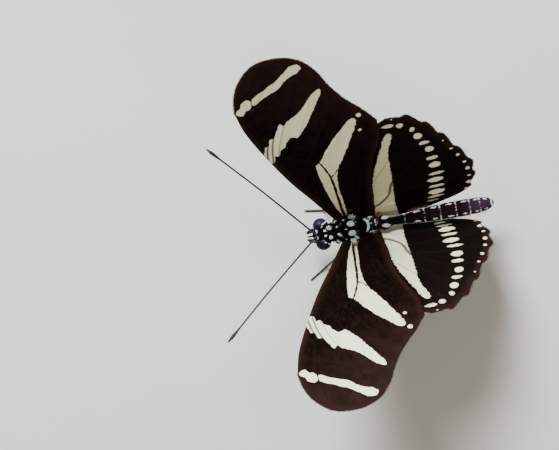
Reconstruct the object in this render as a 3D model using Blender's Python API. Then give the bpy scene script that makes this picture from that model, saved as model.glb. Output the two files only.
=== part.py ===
"""Zebra longwing butterfly, a still life-size model that stands with its wings raised in a V.

The butterfly faces -Y, its left side is +X and its feet stand on z = 0. Every size below is in
millimetres and every mesh is written in metres. Lengths along the body are measured from the
middle of the wing bases, backwards positive. The two wings of one side share a plane: a place on
it is (outward, rearward), measured from the forewing's hinge line. At the end the whole animal
is moved so that the middle of its bounding box stands over the origin.
"""
import math

import bmesh
import bpy
from mathutils import Vector
from mathutils.geometry import delaunay_2d_cdt, intersect_point_line

MILLIMETRE = 0.001
GAP = 0.3
SHARP_ANGLE = math.radians(40.0)
LEFT = 1
RIGHT = -1
SIDES = {"left": LEFT, "right": RIGHT}

# The wing plane, with each side's own raise, sweep and place along the body: the photo shows the
# pair turned a little
WING_RAISE = {LEFT: math.radians(52.5), RIGHT: math.radians(54.1)}
WING_SWEEP = {LEFT: math.radians(1.45), RIGHT: math.radians(-1.85)}
WING_BACK = {LEFT: 0.19, RIGHT: -0.27}
HINGE_OUT = 1.7
HINGE_HEIGHT = 8.2
HINDWING_DROP = 0.88
TIP_BEND = 0.8
TIP_BEND_REACH = 39.0
REAR_BEND = 0.5
REAR_BEND_REACH = 20.0
MEMBRANE = 0.5
TOOTH_DEPTH = 0.62
TOOTH_STEP = 0.12
TOOTH_BULGE = 0.1
OUTLINE_STEPS = 2
MARGIN_STEPS = 3
VEIN_STEPS = 2
INNER_TRIANGLES = 1
MERGE_DISTANCE = 0.02
GRID_PITCH = 3.2
GRID_ROW_SHARE = 0.87
GRID_REACH = 50.0
GRID_CLEARANCE = 0.9
ROOT_POINTS = 5
ROOT_STEP = 0.02
ROOT_LIMIT = 4.0
HIDDEN_MARGIN = 0.6

# Ridges of the veins, from the wing base to the margin
RIDGE_HALF_WIDTH_BASE = 0.34
RIDGE_HALF_WIDTH_END = 0.2
RIDGE_HEIGHT_BASE = 0.22
RIDGE_HEIGHT_END = 0.1
RIDGE_STOP = 0.5

# Forewing, (outward, rearward)
FORE_LEADING_EDGE = [(5.5, -4.6), (11.0, -7.3), (17.2, -9.8), (23.5, -11.95)]
FORE_VEIN_ENDS = {
    "R1": (28.2, -12.85),
    "R2": (31.6, -12.4),
    "R3": (34.7, -11.2),
    "R4": (37.4, -8.8),
    "R5": (37.9, -5.2),
    "M1": (36.5, -2.3),
    "M2": (33.7, -0.35),
    "M3": (30.3, 1.0),
    "Cu1": (27.0, 2.75),
    "Cu2": (23.9, 5.0),
    "A2": (20.7, 6.9),
}
FORE_INNER_EDGE = [(16.8, 6.75), (12.4, 5.35), (8.0, 4.45), (3.0, 4.3)]
FORE_ROOT_RANGE = (-1.9, 3.7)
FORE_VEINS = {
    "Sc": [(1.6, -2.2), (6.0, -4.35), (13.0, -7.6), (20.5, -10.3)],
    "R": [(1.7, -1.5), (7.0, -4.1), (13.0, -6.9), (17.8, -8.2), (23.5, -9.5), (27.5, -10.1)],
    "R1": [(13.0, -6.9), (19.6, -9.7), "R1"],
    "R2": [(19.5, -8.6), (25.5, -11.0), "R2"],
    "R3": [(27.5, -10.1), (31.0, -11.1), "R3"],
    "R4": [(27.5, -10.1), (31.0, -10.0), (34.6, -9.6), "R4"],
    "R5": [(31.0, -10.0), (34.5, -7.4), "R5"],
    "M1": [(17.8, -8.2), (24.0, -6.4), (31.0, -4.0), "M1"],
    "M2": [(16.4, -6.0), (21.2, -4.7), (27.5, -2.4), "M2"],
    "M3": [(15.1, -3.9), (20.5, -1.7), (25.5, 0.2), "M3"],
    "cell end": [(17.8, -8.2), (16.4, -6.0), (15.1, -3.9), (14.0, -2.35)],
    "Cu": [(1.7, -0.6), (5.2, -0.9), (10.25, -1.3), (14.0, -2.35)],
    "Cu1": [(14.0, -2.35), (16.8, -0.8), (21.2, 1.7), "Cu1"],
    "Cu2": [(10.25, -1.3), (12.3, 0.1), (18.0, 2.9), "Cu2"],
    "A2": [(1.7, 1.4), (6.0, 2.2), (13.0, 4.2), "A2"],
}

# Hindwing, (outward, rearward)
HIND_LEADING_EDGE = [(3.2, -0.5), (6.6, -0.9), (10.3, -0.3), (14.1, 1.5), (17.6, 4.6)]
HIND_VEIN_ENDS = {
    "Sc": (19.6, 7.9),
    "Rs": (19.75, 11.0),
    "M1": (17.15, 13.8),
    "M2": (13.7, 16.0),
    "M3": (9.8, 18.0),
    "Cu1": (6.1, 19.75),
    "Cu2": (2.9, 20.0),
    "A2": (0.0, 19.1),
}
HIND_INNER_EDGE = [(-1.4, 16.9), (-2.25, 13.0), (-2.8, 10.0), (-3.0, 7.6), (-2.6, 6.0)]
HIND_ROOT_RANGE = (0.9, 5.2)
HIND_CENTRE = (8.0, 8.0)
HIND_VEINS = {
    "Sc": [(1.3, 1.4), (6.0, 0.4), (13.0, 2.3), (17.4, 5.4), "Sc"],
    "R": [(1.0, 2.3), (4.2, 3.0), (7.6, 4.7), (9.2, 6.6)],
    "Rs": [(7.6, 4.7), (13.5, 5.9), (17.4, 8.4), "Rs"],
    "M1": [(9.2, 6.6), (13.5, 8.4), (16.6, 10.9), "M1"],
    "M2": [(8.2, 8.0), (11.5, 10.4), (13.3, 12.7), "M2"],
    "M3": [(6.5, 8.9), (8.5, 11.3), (9.6, 13.8), "M3"],
    "cell end": [(9.2, 6.6), (8.2, 8.0), (6.5, 8.9), (4.9, 8.3)],
    "Cu": [(0.6, 4.1), (1.5, 5.4), (3.0, 6.9), (4.9, 8.3)],
    "Cu1": [(4.9, 8.3), (5.7, 11.3), (5.95, 14.2), "Cu1"],
    "Cu2": [(3.0, 6.9), (2.8, 10.5), (2.75, 14.2), "Cu2"],
    "A2": [(-0.2, 5.3), (0.1, 9.0), (0.1, 13.6), "A2"],
}

# Body, one row a section: (rearward, half width, lowest point, highest point)
THORAX_SECTIONS = [
    (-3.25, 0.75, 6.6, 8.2),
    (-2.9, 1.15, 6.2, 8.7),
    (-2.4, 1.5, 5.8, 9.05),
    (-1.6, 1.82, 5.4, 9.38),
    (-0.6, 2.0, 5.1, 9.55),
    (0.6, 2.0, 5.05, 9.5),
    (1.6, 1.9, 5.2, 9.25),
    (2.3, 1.68, 5.4, 8.85),
    (2.9, 1.55, 5.6, 8.8),
    (3.5, 1.35, 5.85, 8.55),
    (4.0, 1.05, 6.1, 8.3),
]
ABDOMEN_START = 4.3
ABDOMEN_PROFILE = [
    (4.3, 1.02),
    (5.2, 1.02),
    (6.3, 0.7),
    (7.4, 0.76),
    (9.3, 0.96),
    (11.9, 1.2),
    (14.5, 1.28),
    (17.2, 1.3),
    (19.6, 1.2),
    (20.9, 0.86),
    (21.6, 0.34),
]
ABDOMEN_AXIS_HEIGHTS = [(4.3, 7.2), (6.3, 7.25), (9.0, 7.5), (14.0, 7.95), (18.0, 8.2), (21.6, 8.35)]
ABDOMEN_RINGS = [8.1, 11.1, 13.6, 16.0, 17.9, 19.6]
ABDOMEN_RING_DEPTH = 0.09
ABDOMEN_RING_HALF_WIDTH = 0.22
ABDOMEN_DEPTH_RATIO = 1.05
ABDOMEN_LEAST_STEP = 0.15
HEAD_SECTIONS = [
    (-5.95, 0.3, 6.9, 7.75),
    (-5.8, 0.55, 6.6, 8.05),
    (-5.4, 0.78, 6.25, 8.4),
    (-4.7, 0.92, 6.05, 8.6),
    (-4.0, 0.92, 6.3, 8.5),
    (-3.6, 0.75, 6.7, 8.2),
]
BODY_SIDES = 24

EYE_CENTRE = (1.4, -4.6, 7.3)
EYE_RADII = (1.05, 1.14, 1.18)
EYE_FLAT_OUT = HEAD_SECTIONS[3][1] + GAP
EYE_RINGS = 8
EYE_SIDES = 20
EYE_LAST_TURN = math.radians(80.0)

# Feelers, mouth parts and legs, as paths of (outward, rearward, height)
ANTENNA_PATHS = {
    "left": [(0.65, -6.0, 8.35), (6.8, -13.6, 10.2), (13.4, -21.3, 11.6)],
    "right": [(0.65, -6.0, 8.35), (8.1, -12.5, 10.2), (15.5, -19.3, 11.6)],
}
ANTENNA_RADIUS = 0.25
ANTENNA_CLUB_RADIUS = 0.36
ANTENNA_TIP_RADIUS = 0.14
ANTENNA_STATIONS = 22
# Radius at each share of the length left over, counted from the tip
ANTENNA_PROFILE = [(0.0, ANTENNA_TIP_RADIUS), (0.025, 0.31), (0.05, ANTENNA_CLUB_RADIUS),
                   (0.15, ANTENNA_RADIUS)]
PALP_PATH = [(0.88, -5.15, 5.65), (0.85, -6.1, 5.75), (0.62, -6.75, 6.95)]
PALP_RADII = (0.27, 0.33, 0.15)
PALP_STEPS = 4
PROBOSCIS_CENTRE = (-5.95, 4.95)
PROBOSCIS_OUTER_RADIUS = 0.98
PROBOSCIS_INNER_RADIUS = 0.32
PROBOSCIS_START_TURN = math.radians(60.0)
PROBOSCIS_TURNS = 1.1
PROBOSCIS_THICKNESS = 0.5
PROBOSCIS_STATIONS = 26
FORELEG_PATH = [(0.8, -2.2, 5.05), (0.85, -3.5, 5.0), (0.62, -4.35, 5.45)]
FORELEG_RADII = (0.28, 0.26, 0.25)
FORELEG_STEPS = 3
LEG_POINTS = {
    "midleg_left": {"hip": (1.1, -0.4, 4.65), "knee": (3.5, -2.4, 6.1),
                    "ankle": (4.9, -4.8), "toe": (6.4, -7.3)},
    "midleg_right": {"hip": (1.1, -0.4, 4.65), "knee": (3.1, -2.3, 6.1),
                     "ankle": (3.7, -3.6), "toe": (4.1, -6.3)},
    "hindleg_left": {"hip": (1.1, 2.0, 4.7), "knee": (3.7, 4.6, 5.3),
                     "ankle": (4.9, 8.6), "toe": (5.9, 11.6)},
    "hindleg_right": {"hip": (1.1, 2.0, 4.7), "knee": (3.6, 4.7, 5.3),
                      "ankle": (4.7, 8.8), "toe": (5.5, 11.9)},
}
FEMUR_RADII = (0.36, 0.25)
TIBIA_RADIUS = 0.25
TARSUS_RADIUS = 0.27
TARSUS_TAPER = 0.93
ANKLE_CLEARANCE = 0.45
LIMB_SIDES = 8

# Colours of the materials, linear red, green and blue, and their roughness
COLOURS = {
    "wing brown": ((0.018, 0.009, 0.007), 0.8),
    "body black": ((0.008, 0.007, 0.009), 0.6),
    "abdomen brown": ((0.03, 0.018, 0.025), 0.55),
    "eye": ((0.02, 0.012, 0.03), 0.15),
    "feeler black": ((0.006, 0.006, 0.012), 0.45),
    "leg black": ((0.01, 0.008, 0.008), 0.5),
}


def clear_scene():
    for old in list(bpy.data.objects):
        bpy.data.objects.remove(old, do_unlink=True)


def material(name):
    """The Principled material of that name, made once."""
    if name in bpy.data.materials:
        return bpy.data.materials[name]
    made = bpy.data.materials.new(name)
    made.use_nodes = True
    colour, roughness = COLOURS[name]
    shader = made.node_tree.nodes["Principled BSDF"]
    shader.inputs["Base Color"].default_value = (*colour, 1.0)
    shader.inputs["Roughness"].default_value = roughness
    shader.inputs["Metallic"].default_value = 0.0
    return made


def add_solid(name, points, faces, material_name, smooth=True):
    """A closed mesh object from points in millimetres, its faces turned outwards."""
    mesh = bpy.data.meshes.new(name)
    mesh.from_pydata([Vector(point) * MILLIMETRE for point in points], [], faces)
    shape = bmesh.new()
    shape.from_mesh(mesh)
    bmesh.ops.recalc_face_normals(shape, faces=shape.faces)
    shape.to_mesh(mesh)
    shape.free()
    mesh.materials.append(material(material_name))
    if smooth:
        mesh.shade_smooth()
        mesh.set_sharp_from_angle(angle=SHARP_ANGLE)
    solid = bpy.data.objects.new(name, mesh)
    bpy.context.scene.collection.objects.link(solid)
    return solid


def blend(rows, place):
    """The value at a place, read smoothly from rows of (place, value)."""
    for (start, first), (end, second) in zip(rows, rows[1:]):
        if place <= end:
            share = max(0.0, (place - start) / (end - start))
            share = share * share * (3.0 - 2.0 * share)
            return first + (second - first) * share
    return rows[-1][1]


def smooth_path(points, steps):
    """A curve through the points, with some steps in each span between two of them."""
    points = [Vector(point) for point in points]
    ahead = [points[0] * 2.0 - points[1]] + points + [points[-1] * 2.0 - points[-2]]
    path = [points[0]]
    for before, start, end, after in zip(ahead, ahead[1:], ahead[2:], ahead[3:]):
        for step in range(1, steps + 1):
            t = step / steps
            path.append(0.5 * (2.0 * start + (end - before) * t
                               + (2.0 * before - 5.0 * start + 4.0 * end - after) * t ** 2
                               + (3.0 * start - before - 3.0 * end + after) * t ** 3))
    return path


def close_rings(rings):
    """Points and faces of the closed body that passes through the rings."""
    points = [point for ring in rings for point in ring]
    count = len(rings[0])
    faces = []
    for row in range(len(rings) - 1):
        for column in range(count):
            beside = (column + 1) % count
            faces.append((row * count + column, row * count + beside,
                          (row + 1) * count + beside, (row + 1) * count + column))
    for ring, base in ((rings[0], 0), (rings[-1], (len(rings) - 1) * count)):
        middle = sum((Vector(point) for point in ring), Vector()) / count
        points.append(middle)
        for column in range(count):
            faces.append((base + column, base + (column + 1) % count, len(points) - 1))
    return points, faces


def section_ring(rearward, half_width, lowest, highest):
    """One upright section of the body."""
    middle = (lowest + highest) / 2.0
    half_height = (highest - lowest) / 2.0
    ring = []
    for side in range(BODY_SIDES):
        turn = math.tau * side / BODY_SIDES
        ring.append(Vector((half_width * math.cos(turn), rearward,
                            middle + half_height * math.sin(turn))))
    return ring


def tube(name, path, radii, material_name, sides=LIMB_SIDES):
    """A tube along a path, with one radius a point."""
    path = [Vector(point) for point in path]
    directions = []
    for index in range(len(path)):
        before = path[max(index - 1, 0)]
        after = path[min(index + 1, len(path) - 1)]
        directions.append((after - before).normalized())
    across = directions[0].cross(Vector((0.0, 0.0, 1.0))).normalized()
    rings = []
    for point, direction, radius in zip(path, directions, radii):
        across = (across - direction * across.dot(direction)).normalized()
        upward = across.cross(direction)
        ring = []
        for side in range(sides):
            turn = math.tau * (side + 0.5) / sides
            ring.append(point + (across * math.cos(turn) + upward * math.sin(turn)) * radius)
        rings.append(ring)
    points, faces = close_rings(rings)
    return add_solid(name, points, faces, material_name)


def on_side(point, side):
    """A place given as (outward, rearward, height), on the left or the right."""
    return Vector((side * point[0], point[1], point[2]))


# Wings

def bend(outward, rearward):
    """How far the wing plane bows away from the body there."""
    tip = TIP_BEND * (outward / TIP_BEND_REACH) ** 2
    rear = REAR_BEND * (max(rearward, 0.0) / REAR_BEND_REACH) ** 2
    return tip + rear


def wing_point(place, lift, side):
    """The place in space of a point of the wing plane, lifted off it by some height."""
    height = lift - bend(*place)
    sweep = WING_SWEEP[side]
    outward = place[0] * math.cos(sweep) - place[1] * math.sin(sweep)
    rearward = place[0] * math.sin(sweep) + place[1] * math.cos(sweep)
    rise = WING_RAISE[side]
    return Vector((
        side * (HINGE_OUT + outward * math.cos(rise) - height * math.sin(rise)),
        rearward + WING_BACK[side],
        HINGE_HEIGHT + outward * math.sin(rise) + height * math.cos(rise)))


def body_section(rearward):
    """Half width, lowest and highest point of the body at a place along it."""
    rows = THORAX_SECTIONS
    if rearward > rows[-1][0]:
        radius = blend(ABDOMEN_PROFILE, rearward)
        middle = blend(ABDOMEN_AXIS_HEIGHTS, rearward)
        depth = radius * ABDOMEN_DEPTH_RATIO
        return radius, middle - depth, middle + depth
    return tuple(blend([(row[0], row[column]) for row in rows], rearward) for column in (1, 2, 3))


def root_outward(rearward, lift, lowest_outward):
    """Where the wings start at that place along them, clear of the body by the gap."""
    outward = lowest_outward
    while outward < ROOT_LIMIT:
        clear = True
        for side in (LEFT, RIGHT):
            for face in (lift - MEMBRANE / 2.0, lift + MEMBRANE / 2.0):
                point = wing_point((outward, rearward), face, side)
                half_width, lowest, highest = body_section(point.y)
                wide = half_width + GAP
                high = (highest - lowest) / 2.0 + GAP
                middle = (lowest + highest) / 2.0
                if (point.x / wide) ** 2 + ((point.z - middle) / high) ** 2 < 1.0:
                    clear = False
        if clear:
            return outward
        outward += ROOT_STEP
    return outward


def toothed_margin(ends, centre):
    """A margin with a small tooth at each vein end: each run bows out a little, then steps in."""
    centre = Vector(centre)
    margin = [Vector(ends[0])]
    for first, second in zip(ends, ends[1:]):
        first = Vector(first)
        second = Vector(second)
        notch = second + (first - second) * TOOTH_STEP
        notch += (centre - notch).normalized() * TOOTH_DEPTH
        middle = (first + notch) / 2.0
        middle -= (centre - middle).normalized() * TOOTH_BULGE
        margin += [middle, notch, second]
    return margin


def wing_outline(wing):
    """The wing's outline, from the front of its root round the tip and back to the root."""
    ends = [Vector(end) for end in wing["ends"].values()]
    front, rear = wing["root_range"]
    root = []
    for index in range(ROOT_POINTS):
        rearward = rear + (front - rear) * index / (ROOT_POINTS - 1)
        root.append(Vector((root_outward(rearward, wing["lift"], wing["root_lowest"]), rearward)))
    leading = smooth_path([root[-1], *wing["leading_edge"], ends[0]], OUTLINE_STEPS)
    if wing["toothed"]:
        margin = toothed_margin(ends, wing["centre"])
    else:
        margin = smooth_path(ends, MARGIN_STEPS)
    inner = smooth_path([ends[-1], *wing["inner_edge"], root[0]], OUTLINE_STEPS)
    return leading + margin[1:] + inner[1:] + root[1:-1]


def vein_paths(wing):
    """Each main vein as a smooth path; one that runs to the margin stops just short of it."""
    paths = []
    for points in wing["veins"].values():
        ends_at_margin = isinstance(points[-1], str)
        places = [Vector(wing["ends"][point] if isinstance(point, str) else point)
                  for point in points]
        if ends_at_margin:
            run = places[-1] - places[-2]
            places[-1] = places[-1] - run.normalized() * RIDGE_STOP
        paths.append(smooth_path(places, VEIN_STEPS))
    return paths


def ridge_share(place, wing):
    """How far out along the wing a place lies, from 0 at the base to 1 at the margin."""
    return min(1.0, Vector(place).length / wing["reach"])


def ridge_half_width(place, wing):
    share = ridge_share(place, wing)
    return RIDGE_HALF_WIDTH_BASE + (RIDGE_HALF_WIDTH_END - RIDGE_HALF_WIDTH_BASE) * share


def side_lines(path, wing):
    """The two feet of a vein's ridge, which meet its crest at both ends."""
    lines = []
    for hand in (1.0, -1.0):
        line = [path[0]]
        for before, point, after in zip(path, path[1:], path[2:]):
            run = (after - before).normalized()
            across = Vector((-run.y, run.x)) * hand
            line.append(point + across * ridge_half_width(point, wing))
        line.append(path[-1])
        lines.append(line)
    return lines


def distance_to_path(place, path):
    nearest = 1.0e9
    for start, end in zip(path, path[1:]):
        closest, share = intersect_point_line(place, start, end)
        share = min(1.0, max(0.0, share))
        nearest = min(nearest, (start + (end - start) * share - place).length)
    return nearest


def ridge_height(place, paths, wing):
    """The height of the veins' ridges above the membrane at a place."""
    share = ridge_share(place, wing)
    crest = RIDGE_HEIGHT_BASE + (RIDGE_HEIGHT_END - RIDGE_HEIGHT_BASE) * share
    half_width = ridge_half_width(place, wing)
    height = 0.0
    for path in paths:
        if min((place - path[0]).length, (place - path[-1]).length) < 0.001:
            continue
        nearness = 1.0 - distance_to_path(place, path) / half_width
        height = max(height, crest * nearness)
    return height


def inside(place, outline):
    """Whether a place lies inside a closed outline."""
    crossings = 0
    for first, second in zip(outline, outline[1:] + outline[:1]):
        if (first.y > place.y) != (second.y > place.y):
            crossing = first.x + (place.y - first.y) * (second.x - first.x) / (second.y - first.y)
            if crossing > place.x:
                crossings += 1
    return crossings % 2 == 1


def membrane_grid(outline, paths):
    """Points between the veins that let the membrane follow the wing's bend."""
    lines = paths + [outline + outline[:1]]
    grid = []
    rows = int(GRID_REACH / GRID_PITCH)
    for row in range(-rows, rows):
        for column in range(-rows, rows):
            place = Vector((column * GRID_PITCH + (row % 2) * GRID_PITCH / 2.0,
                            row * GRID_PITCH * GRID_ROW_SHARE))
            if not inside(place, outline):
                continue
            if min(distance_to_path(place, line) for line in lines) > GRID_CLEARANCE:
                grid.append(place)
    return grid


def triangulate_wing(wing):
    """The wing's plan as triangles that follow its outline and its veins."""
    outline = wing_outline(wing)
    paths = vein_paths(wing)
    places = list(outline)
    edges = [(index, (index + 1) % len(outline)) for index in range(len(outline))]
    for path in paths:
        for line in [path] + side_lines(path, wing):
            first = len(places)
            places.extend(line)
            edges.extend((first + step, first + step + 1) for step in range(len(line) - 1))
    places.extend(membrane_grid(outline, paths))
    result = delaunay_2d_cdt(places, edges, [], INNER_TRIANGLES, MERGE_DISTANCE)
    return result[0], result[2], outline, paths


def wing_solid(name, wing, side, hidden_top=None, hidden_bottom=None):
    """A wing: both faces share one set of triangles, and the veins stand up from each face.

    hidden_top and hidden_bottom say where that face lies against the other wing and stays flat.
    """
    places, triangles, outline, paths = triangulate_wing(wing)
    points = []
    for hand, hidden in ((1.0, hidden_top), (-1.0, hidden_bottom)):
        for place in places:
            ridge = 0.0
            if hidden is None or not hidden(place):
                ridge = ridge_height(place, paths, wing)
            lift = wing["lift"] + hand * (MEMBRANE / 2.0 + ridge)
            points.append(wing_point(place, lift, side))
    count = len(places)
    faces = []
    uses = {}
    for triangle in triangles:
        faces.append(tuple(triangle))
        faces.append(tuple(corner + count for corner in reversed(triangle)))
        for first, second in zip(triangle, triangle[1:] + triangle[:1]):
            uses.setdefault(frozenset((first, second)), []).append((first, second))
    for directions in uses.values():
        if len(directions) == 1:
            first, second = directions[0]
            faces.append((second, first, first + count))
            faces.append((second, first + count, second + count))
    return add_solid(name, points, faces, "wing brown", smooth=False)


FOREWING = {
    "leading_edge": FORE_LEADING_EDGE, "ends": FORE_VEIN_ENDS, "inner_edge": FORE_INNER_EDGE,
    "root_range": FORE_ROOT_RANGE, "root_lowest": 0.2, "toothed": False,
    "veins": FORE_VEINS, "lift": 0.0, "reach": 38.0,
}
HINDWING = {
    "leading_edge": HIND_LEADING_EDGE, "ends": HIND_VEIN_ENDS, "inner_edge": HIND_INNER_EDGE,
    "root_range": HIND_ROOT_RANGE, "root_lowest": -2.0, "toothed": True, "centre": HIND_CENTRE,
    "veins": HIND_VEINS, "lift": -HINDWING_DROP, "reach": 21.0,
}


def add_wings():
    fore_outline = wing_outline(FOREWING)
    hind_outline = wing_outline(HINDWING)
    fore_loop = fore_outline + fore_outline[:1]
    hind_loop = hind_outline + hind_outline[:1]

    def under_forewing(place):
        return inside(place, fore_outline) or distance_to_path(place, fore_loop) < HIDDEN_MARGIN

    def over_hindwing(place):
        return inside(place, hind_outline) or distance_to_path(place, hind_loop) < HIDDEN_MARGIN

    for word, side in SIDES.items():
        wing_solid("forewing_" + word, FOREWING, side, hidden_bottom=over_hindwing)
        wing_solid("hindwing_" + word, HINDWING, side, hidden_top=under_forewing)


# Body

def add_thorax():
    rings = [section_ring(*row) for row in THORAX_SECTIONS]
    points, faces = close_rings(rings)
    add_solid("thorax", points, faces, "body black")


def add_abdomen():
    """The abdomen, waisted behind its first segment and drawn in at each ring."""
    end = ABDOMEN_PROFILE[-1][0]
    places = {row[0] for row in ABDOMEN_PROFILE}
    for ring in ABDOMEN_RINGS:
        places.update((ring - ABDOMEN_RING_HALF_WIDTH, ring, ring + ABDOMEN_RING_HALF_WIDTH))
    places = sorted(place for place in places if ABDOMEN_START <= place <= end)
    rings = []
    last = None
    for place in places:
        if last is not None and place - last < ABDOMEN_LEAST_STEP:
            continue
        last = place
        radius = blend(ABDOMEN_PROFILE, place)
        if place in ABDOMEN_RINGS:
            radius -= ABDOMEN_RING_DEPTH
        middle = blend(ABDOMEN_AXIS_HEIGHTS, place)
        depth = radius * ABDOMEN_DEPTH_RATIO
        rings.append(section_ring(place, radius, middle - depth, middle + depth))
    points, faces = close_rings(rings)
    add_solid("abdomen", points, faces, "abdomen brown")


def add_head():
    rings = [section_ring(*row) for row in HEAD_SECTIONS]
    points, faces = close_rings(rings)
    add_solid("head", points, faces, "body black")


def add_eyes():
    """Each eye is a domed ellipsoid, cut flat where it faces the head."""
    centre = Vector(EYE_CENTRE)
    radius_out, radius_back, radius_up = EYE_RADII
    start = math.asin((EYE_FLAT_OUT - centre.x) / radius_out)
    for word, side in SIDES.items():
        rings = []
        for row in range(EYE_RINGS):
            turn = start + (EYE_LAST_TURN - start) * row / (EYE_RINGS - 1)
            ring = []
            for column in range(EYE_SIDES):
                around = math.tau * column / EYE_SIDES
                ring.append(Vector((
                    side * (centre.x + radius_out * math.sin(turn)),
                    centre.y + radius_back * math.cos(turn) * math.cos(around),
                    centre.z + radius_up * math.cos(turn) * math.sin(around))))
            rings.append(ring)
        points, faces = close_rings(rings)
        add_solid("eye_" + word, points, faces, "eye")


def add_antennae():
    """Each antenna is a slender shaft that swells into a small club at its tip."""
    for word, side in SIDES.items():
        route = [on_side(point, side) for point in ANTENNA_PATHS[word]]
        path = smooth_path(route, ANTENNA_STATIONS // (len(route) - 1))
        radii = []
        for index in range(len(path)):
            left_over = 1.0 - index / (len(path) - 1)
            radii.append(blend(ANTENNA_PROFILE, left_over))
        tube("antenna_" + word, path, radii, "feeler black")


def add_mouth_parts():
    """The two palps in front of the face, and the tongue coiled between and below them."""
    for word, side in SIDES.items():
        path = smooth_path([on_side(point, side) for point in PALP_PATH], PALP_STEPS)
        radii = [blend(list(zip((0.0, 0.5, 1.0), PALP_RADII)), index / (len(path) - 1))
                 for index in range(len(path))]
        tube("palp_" + word, path, radii, "body black")
    path = []
    for index in range(PROBOSCIS_STATIONS + 1):
        share = index / PROBOSCIS_STATIONS
        turn = PROBOSCIS_START_TURN - math.tau * PROBOSCIS_TURNS * share
        radius = PROBOSCIS_OUTER_RADIUS + (PROBOSCIS_INNER_RADIUS - PROBOSCIS_OUTER_RADIUS) * share
        path.append(Vector((0.0, PROBOSCIS_CENTRE[0] + radius * math.cos(turn),
                            PROBOSCIS_CENTRE[1] + radius * math.sin(turn))))
    tube("proboscis", path, [PROBOSCIS_THICKNESS / 2.0] * len(path), "feeler black")


def trimmed(path, start_trim, end_trim):
    """A straight limb between two joints, shortened at its ends."""
    start, end = (Vector(point) for point in path)
    run = (end - start).normalized()
    return start + run * start_trim, end - run * end_trim


def joint_trim(before, joint, after, radius):
    """How much each limb stops short of a joint, so that the gap is left inside its bend."""
    turn = (joint - before).angle(after - joint)
    return GAP / 2.0 + radius * math.tan(turn / 2.0)


def add_tarsus(name, ankle, toe):
    """The foot: a thin bar whose flat underside lies on the floor."""
    radius_end = TARSUS_RADIUS * TARSUS_TAPER
    flat = math.cos(math.pi / LIMB_SIDES)
    path = [Vector((ankle.x, ankle.y, TARSUS_RADIUS * flat)), Vector((toe.x, toe.y, radius_end * flat))]
    rings = []
    run = (toe - ankle).normalized()
    across = Vector((run.y, -run.x, 0.0))
    for point, radius in zip(path, (TARSUS_RADIUS, radius_end)):
        ring = []
        for side in range(LIMB_SIDES):
            turn = math.tau * (side + 0.5) / LIMB_SIDES
            ring.append(point + across * math.cos(turn) * radius
                        + Vector((0.0, 0.0, math.sin(turn) * radius)))
        rings.append(ring)
    points, faces = close_rings(rings)
    add_solid(name, points, faces, "leg black")


def add_legs():
    """The short forelegs are folded under the chest; the middle and hind legs carry the body."""
    for word, side in SIDES.items():
        path = smooth_path([on_side(point, side) for point in FORELEG_PATH], FORELEG_STEPS)
        radii = [blend(list(zip((0.0, 0.5, 1.0), FORELEG_RADII)), index / (len(path) - 1))
                 for index in range(len(path))]
        tube("foreleg_" + word, path, radii, "leg black")
    for leg, places in LEG_POINTS.items():
        name, word = leg.split("_")
        side = SIDES[word]
        hip = on_side(places["hip"], side)
        knee = on_side(places["knee"], side)
        ankle = on_side((*places["ankle"], 2.0 * TARSUS_RADIUS + ANKLE_CLEARANCE), side)
        toe = on_side((*places["toe"], 0.0), side)
        trim = joint_trim(hip, knee, ankle, TIBIA_RADIUS)
        start, end = trimmed((hip, knee), 0.0, trim)
        tube(name + "_femur_" + word, [start, end], FEMUR_RADII, "leg black")
        start, end = trimmed((knee, ankle), trim, 0.0)
        tube(name + "_tibia_" + word, [start, end], (TIBIA_RADIUS, TIBIA_RADIUS), "leg black")
        foot_start = Vector((ankle.x, ankle.y, 0.0))
        add_tarsus(name + "_tarsus_" + word, foot_start, toe)


def centre_over_origin():
    """Move every solid so that the bounding box stands on z = 0 with its middle over the origin."""
    corners = [vertex.co for solid in bpy.data.objects for vertex in solid.data.vertices]
    low = Vector(min(corner[axis] for corner in corners) for axis in range(3))
    high = Vector(max(corner[axis] for corner in corners) for axis in range(3))
    shift = Vector((-(low.x + high.x) / 2.0, -(low.y + high.y) / 2.0, -low.z))
    for solid in bpy.data.objects:
        solid.location = shift


clear_scene()
add_thorax()
add_abdomen()
add_head()
add_eyes()
add_antennae()
add_mouth_parts()
add_legs()
add_wings()
centre_over_origin()
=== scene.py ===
"""The looks of the zebra longwing: patterned wings, one furred body skin, eyes, feelers and legs.

Sizes are in millimetres in the body frame of the CAD part: the middle of the wing bases is at
x = 0, y = 0, the head looks along -Y, the left side is +X and the floor is z = 0. A place on a
wing is (outward, rearward) from the forewing's hinge line. Meshes are written in metres.
"""
import math

import bmesh
import bpy
import numpy as np
from mathutils import Matrix, Vector
from mathutils.geometry import delaunay_2d_cdt


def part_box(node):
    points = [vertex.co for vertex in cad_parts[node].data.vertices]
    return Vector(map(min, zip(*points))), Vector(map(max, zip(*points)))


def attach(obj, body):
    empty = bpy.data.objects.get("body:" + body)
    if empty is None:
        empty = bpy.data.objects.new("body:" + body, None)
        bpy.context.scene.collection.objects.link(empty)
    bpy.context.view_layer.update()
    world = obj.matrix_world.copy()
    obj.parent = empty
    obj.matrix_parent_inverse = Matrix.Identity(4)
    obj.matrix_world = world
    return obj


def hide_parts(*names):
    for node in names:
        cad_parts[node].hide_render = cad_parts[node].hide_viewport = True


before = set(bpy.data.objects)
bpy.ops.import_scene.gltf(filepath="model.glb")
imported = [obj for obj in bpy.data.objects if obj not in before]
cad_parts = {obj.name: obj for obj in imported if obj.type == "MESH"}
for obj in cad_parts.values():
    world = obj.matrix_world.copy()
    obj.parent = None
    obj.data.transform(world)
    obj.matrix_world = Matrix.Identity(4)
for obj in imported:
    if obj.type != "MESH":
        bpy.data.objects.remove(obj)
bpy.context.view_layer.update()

MILLIMETRE = 0.001
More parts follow.
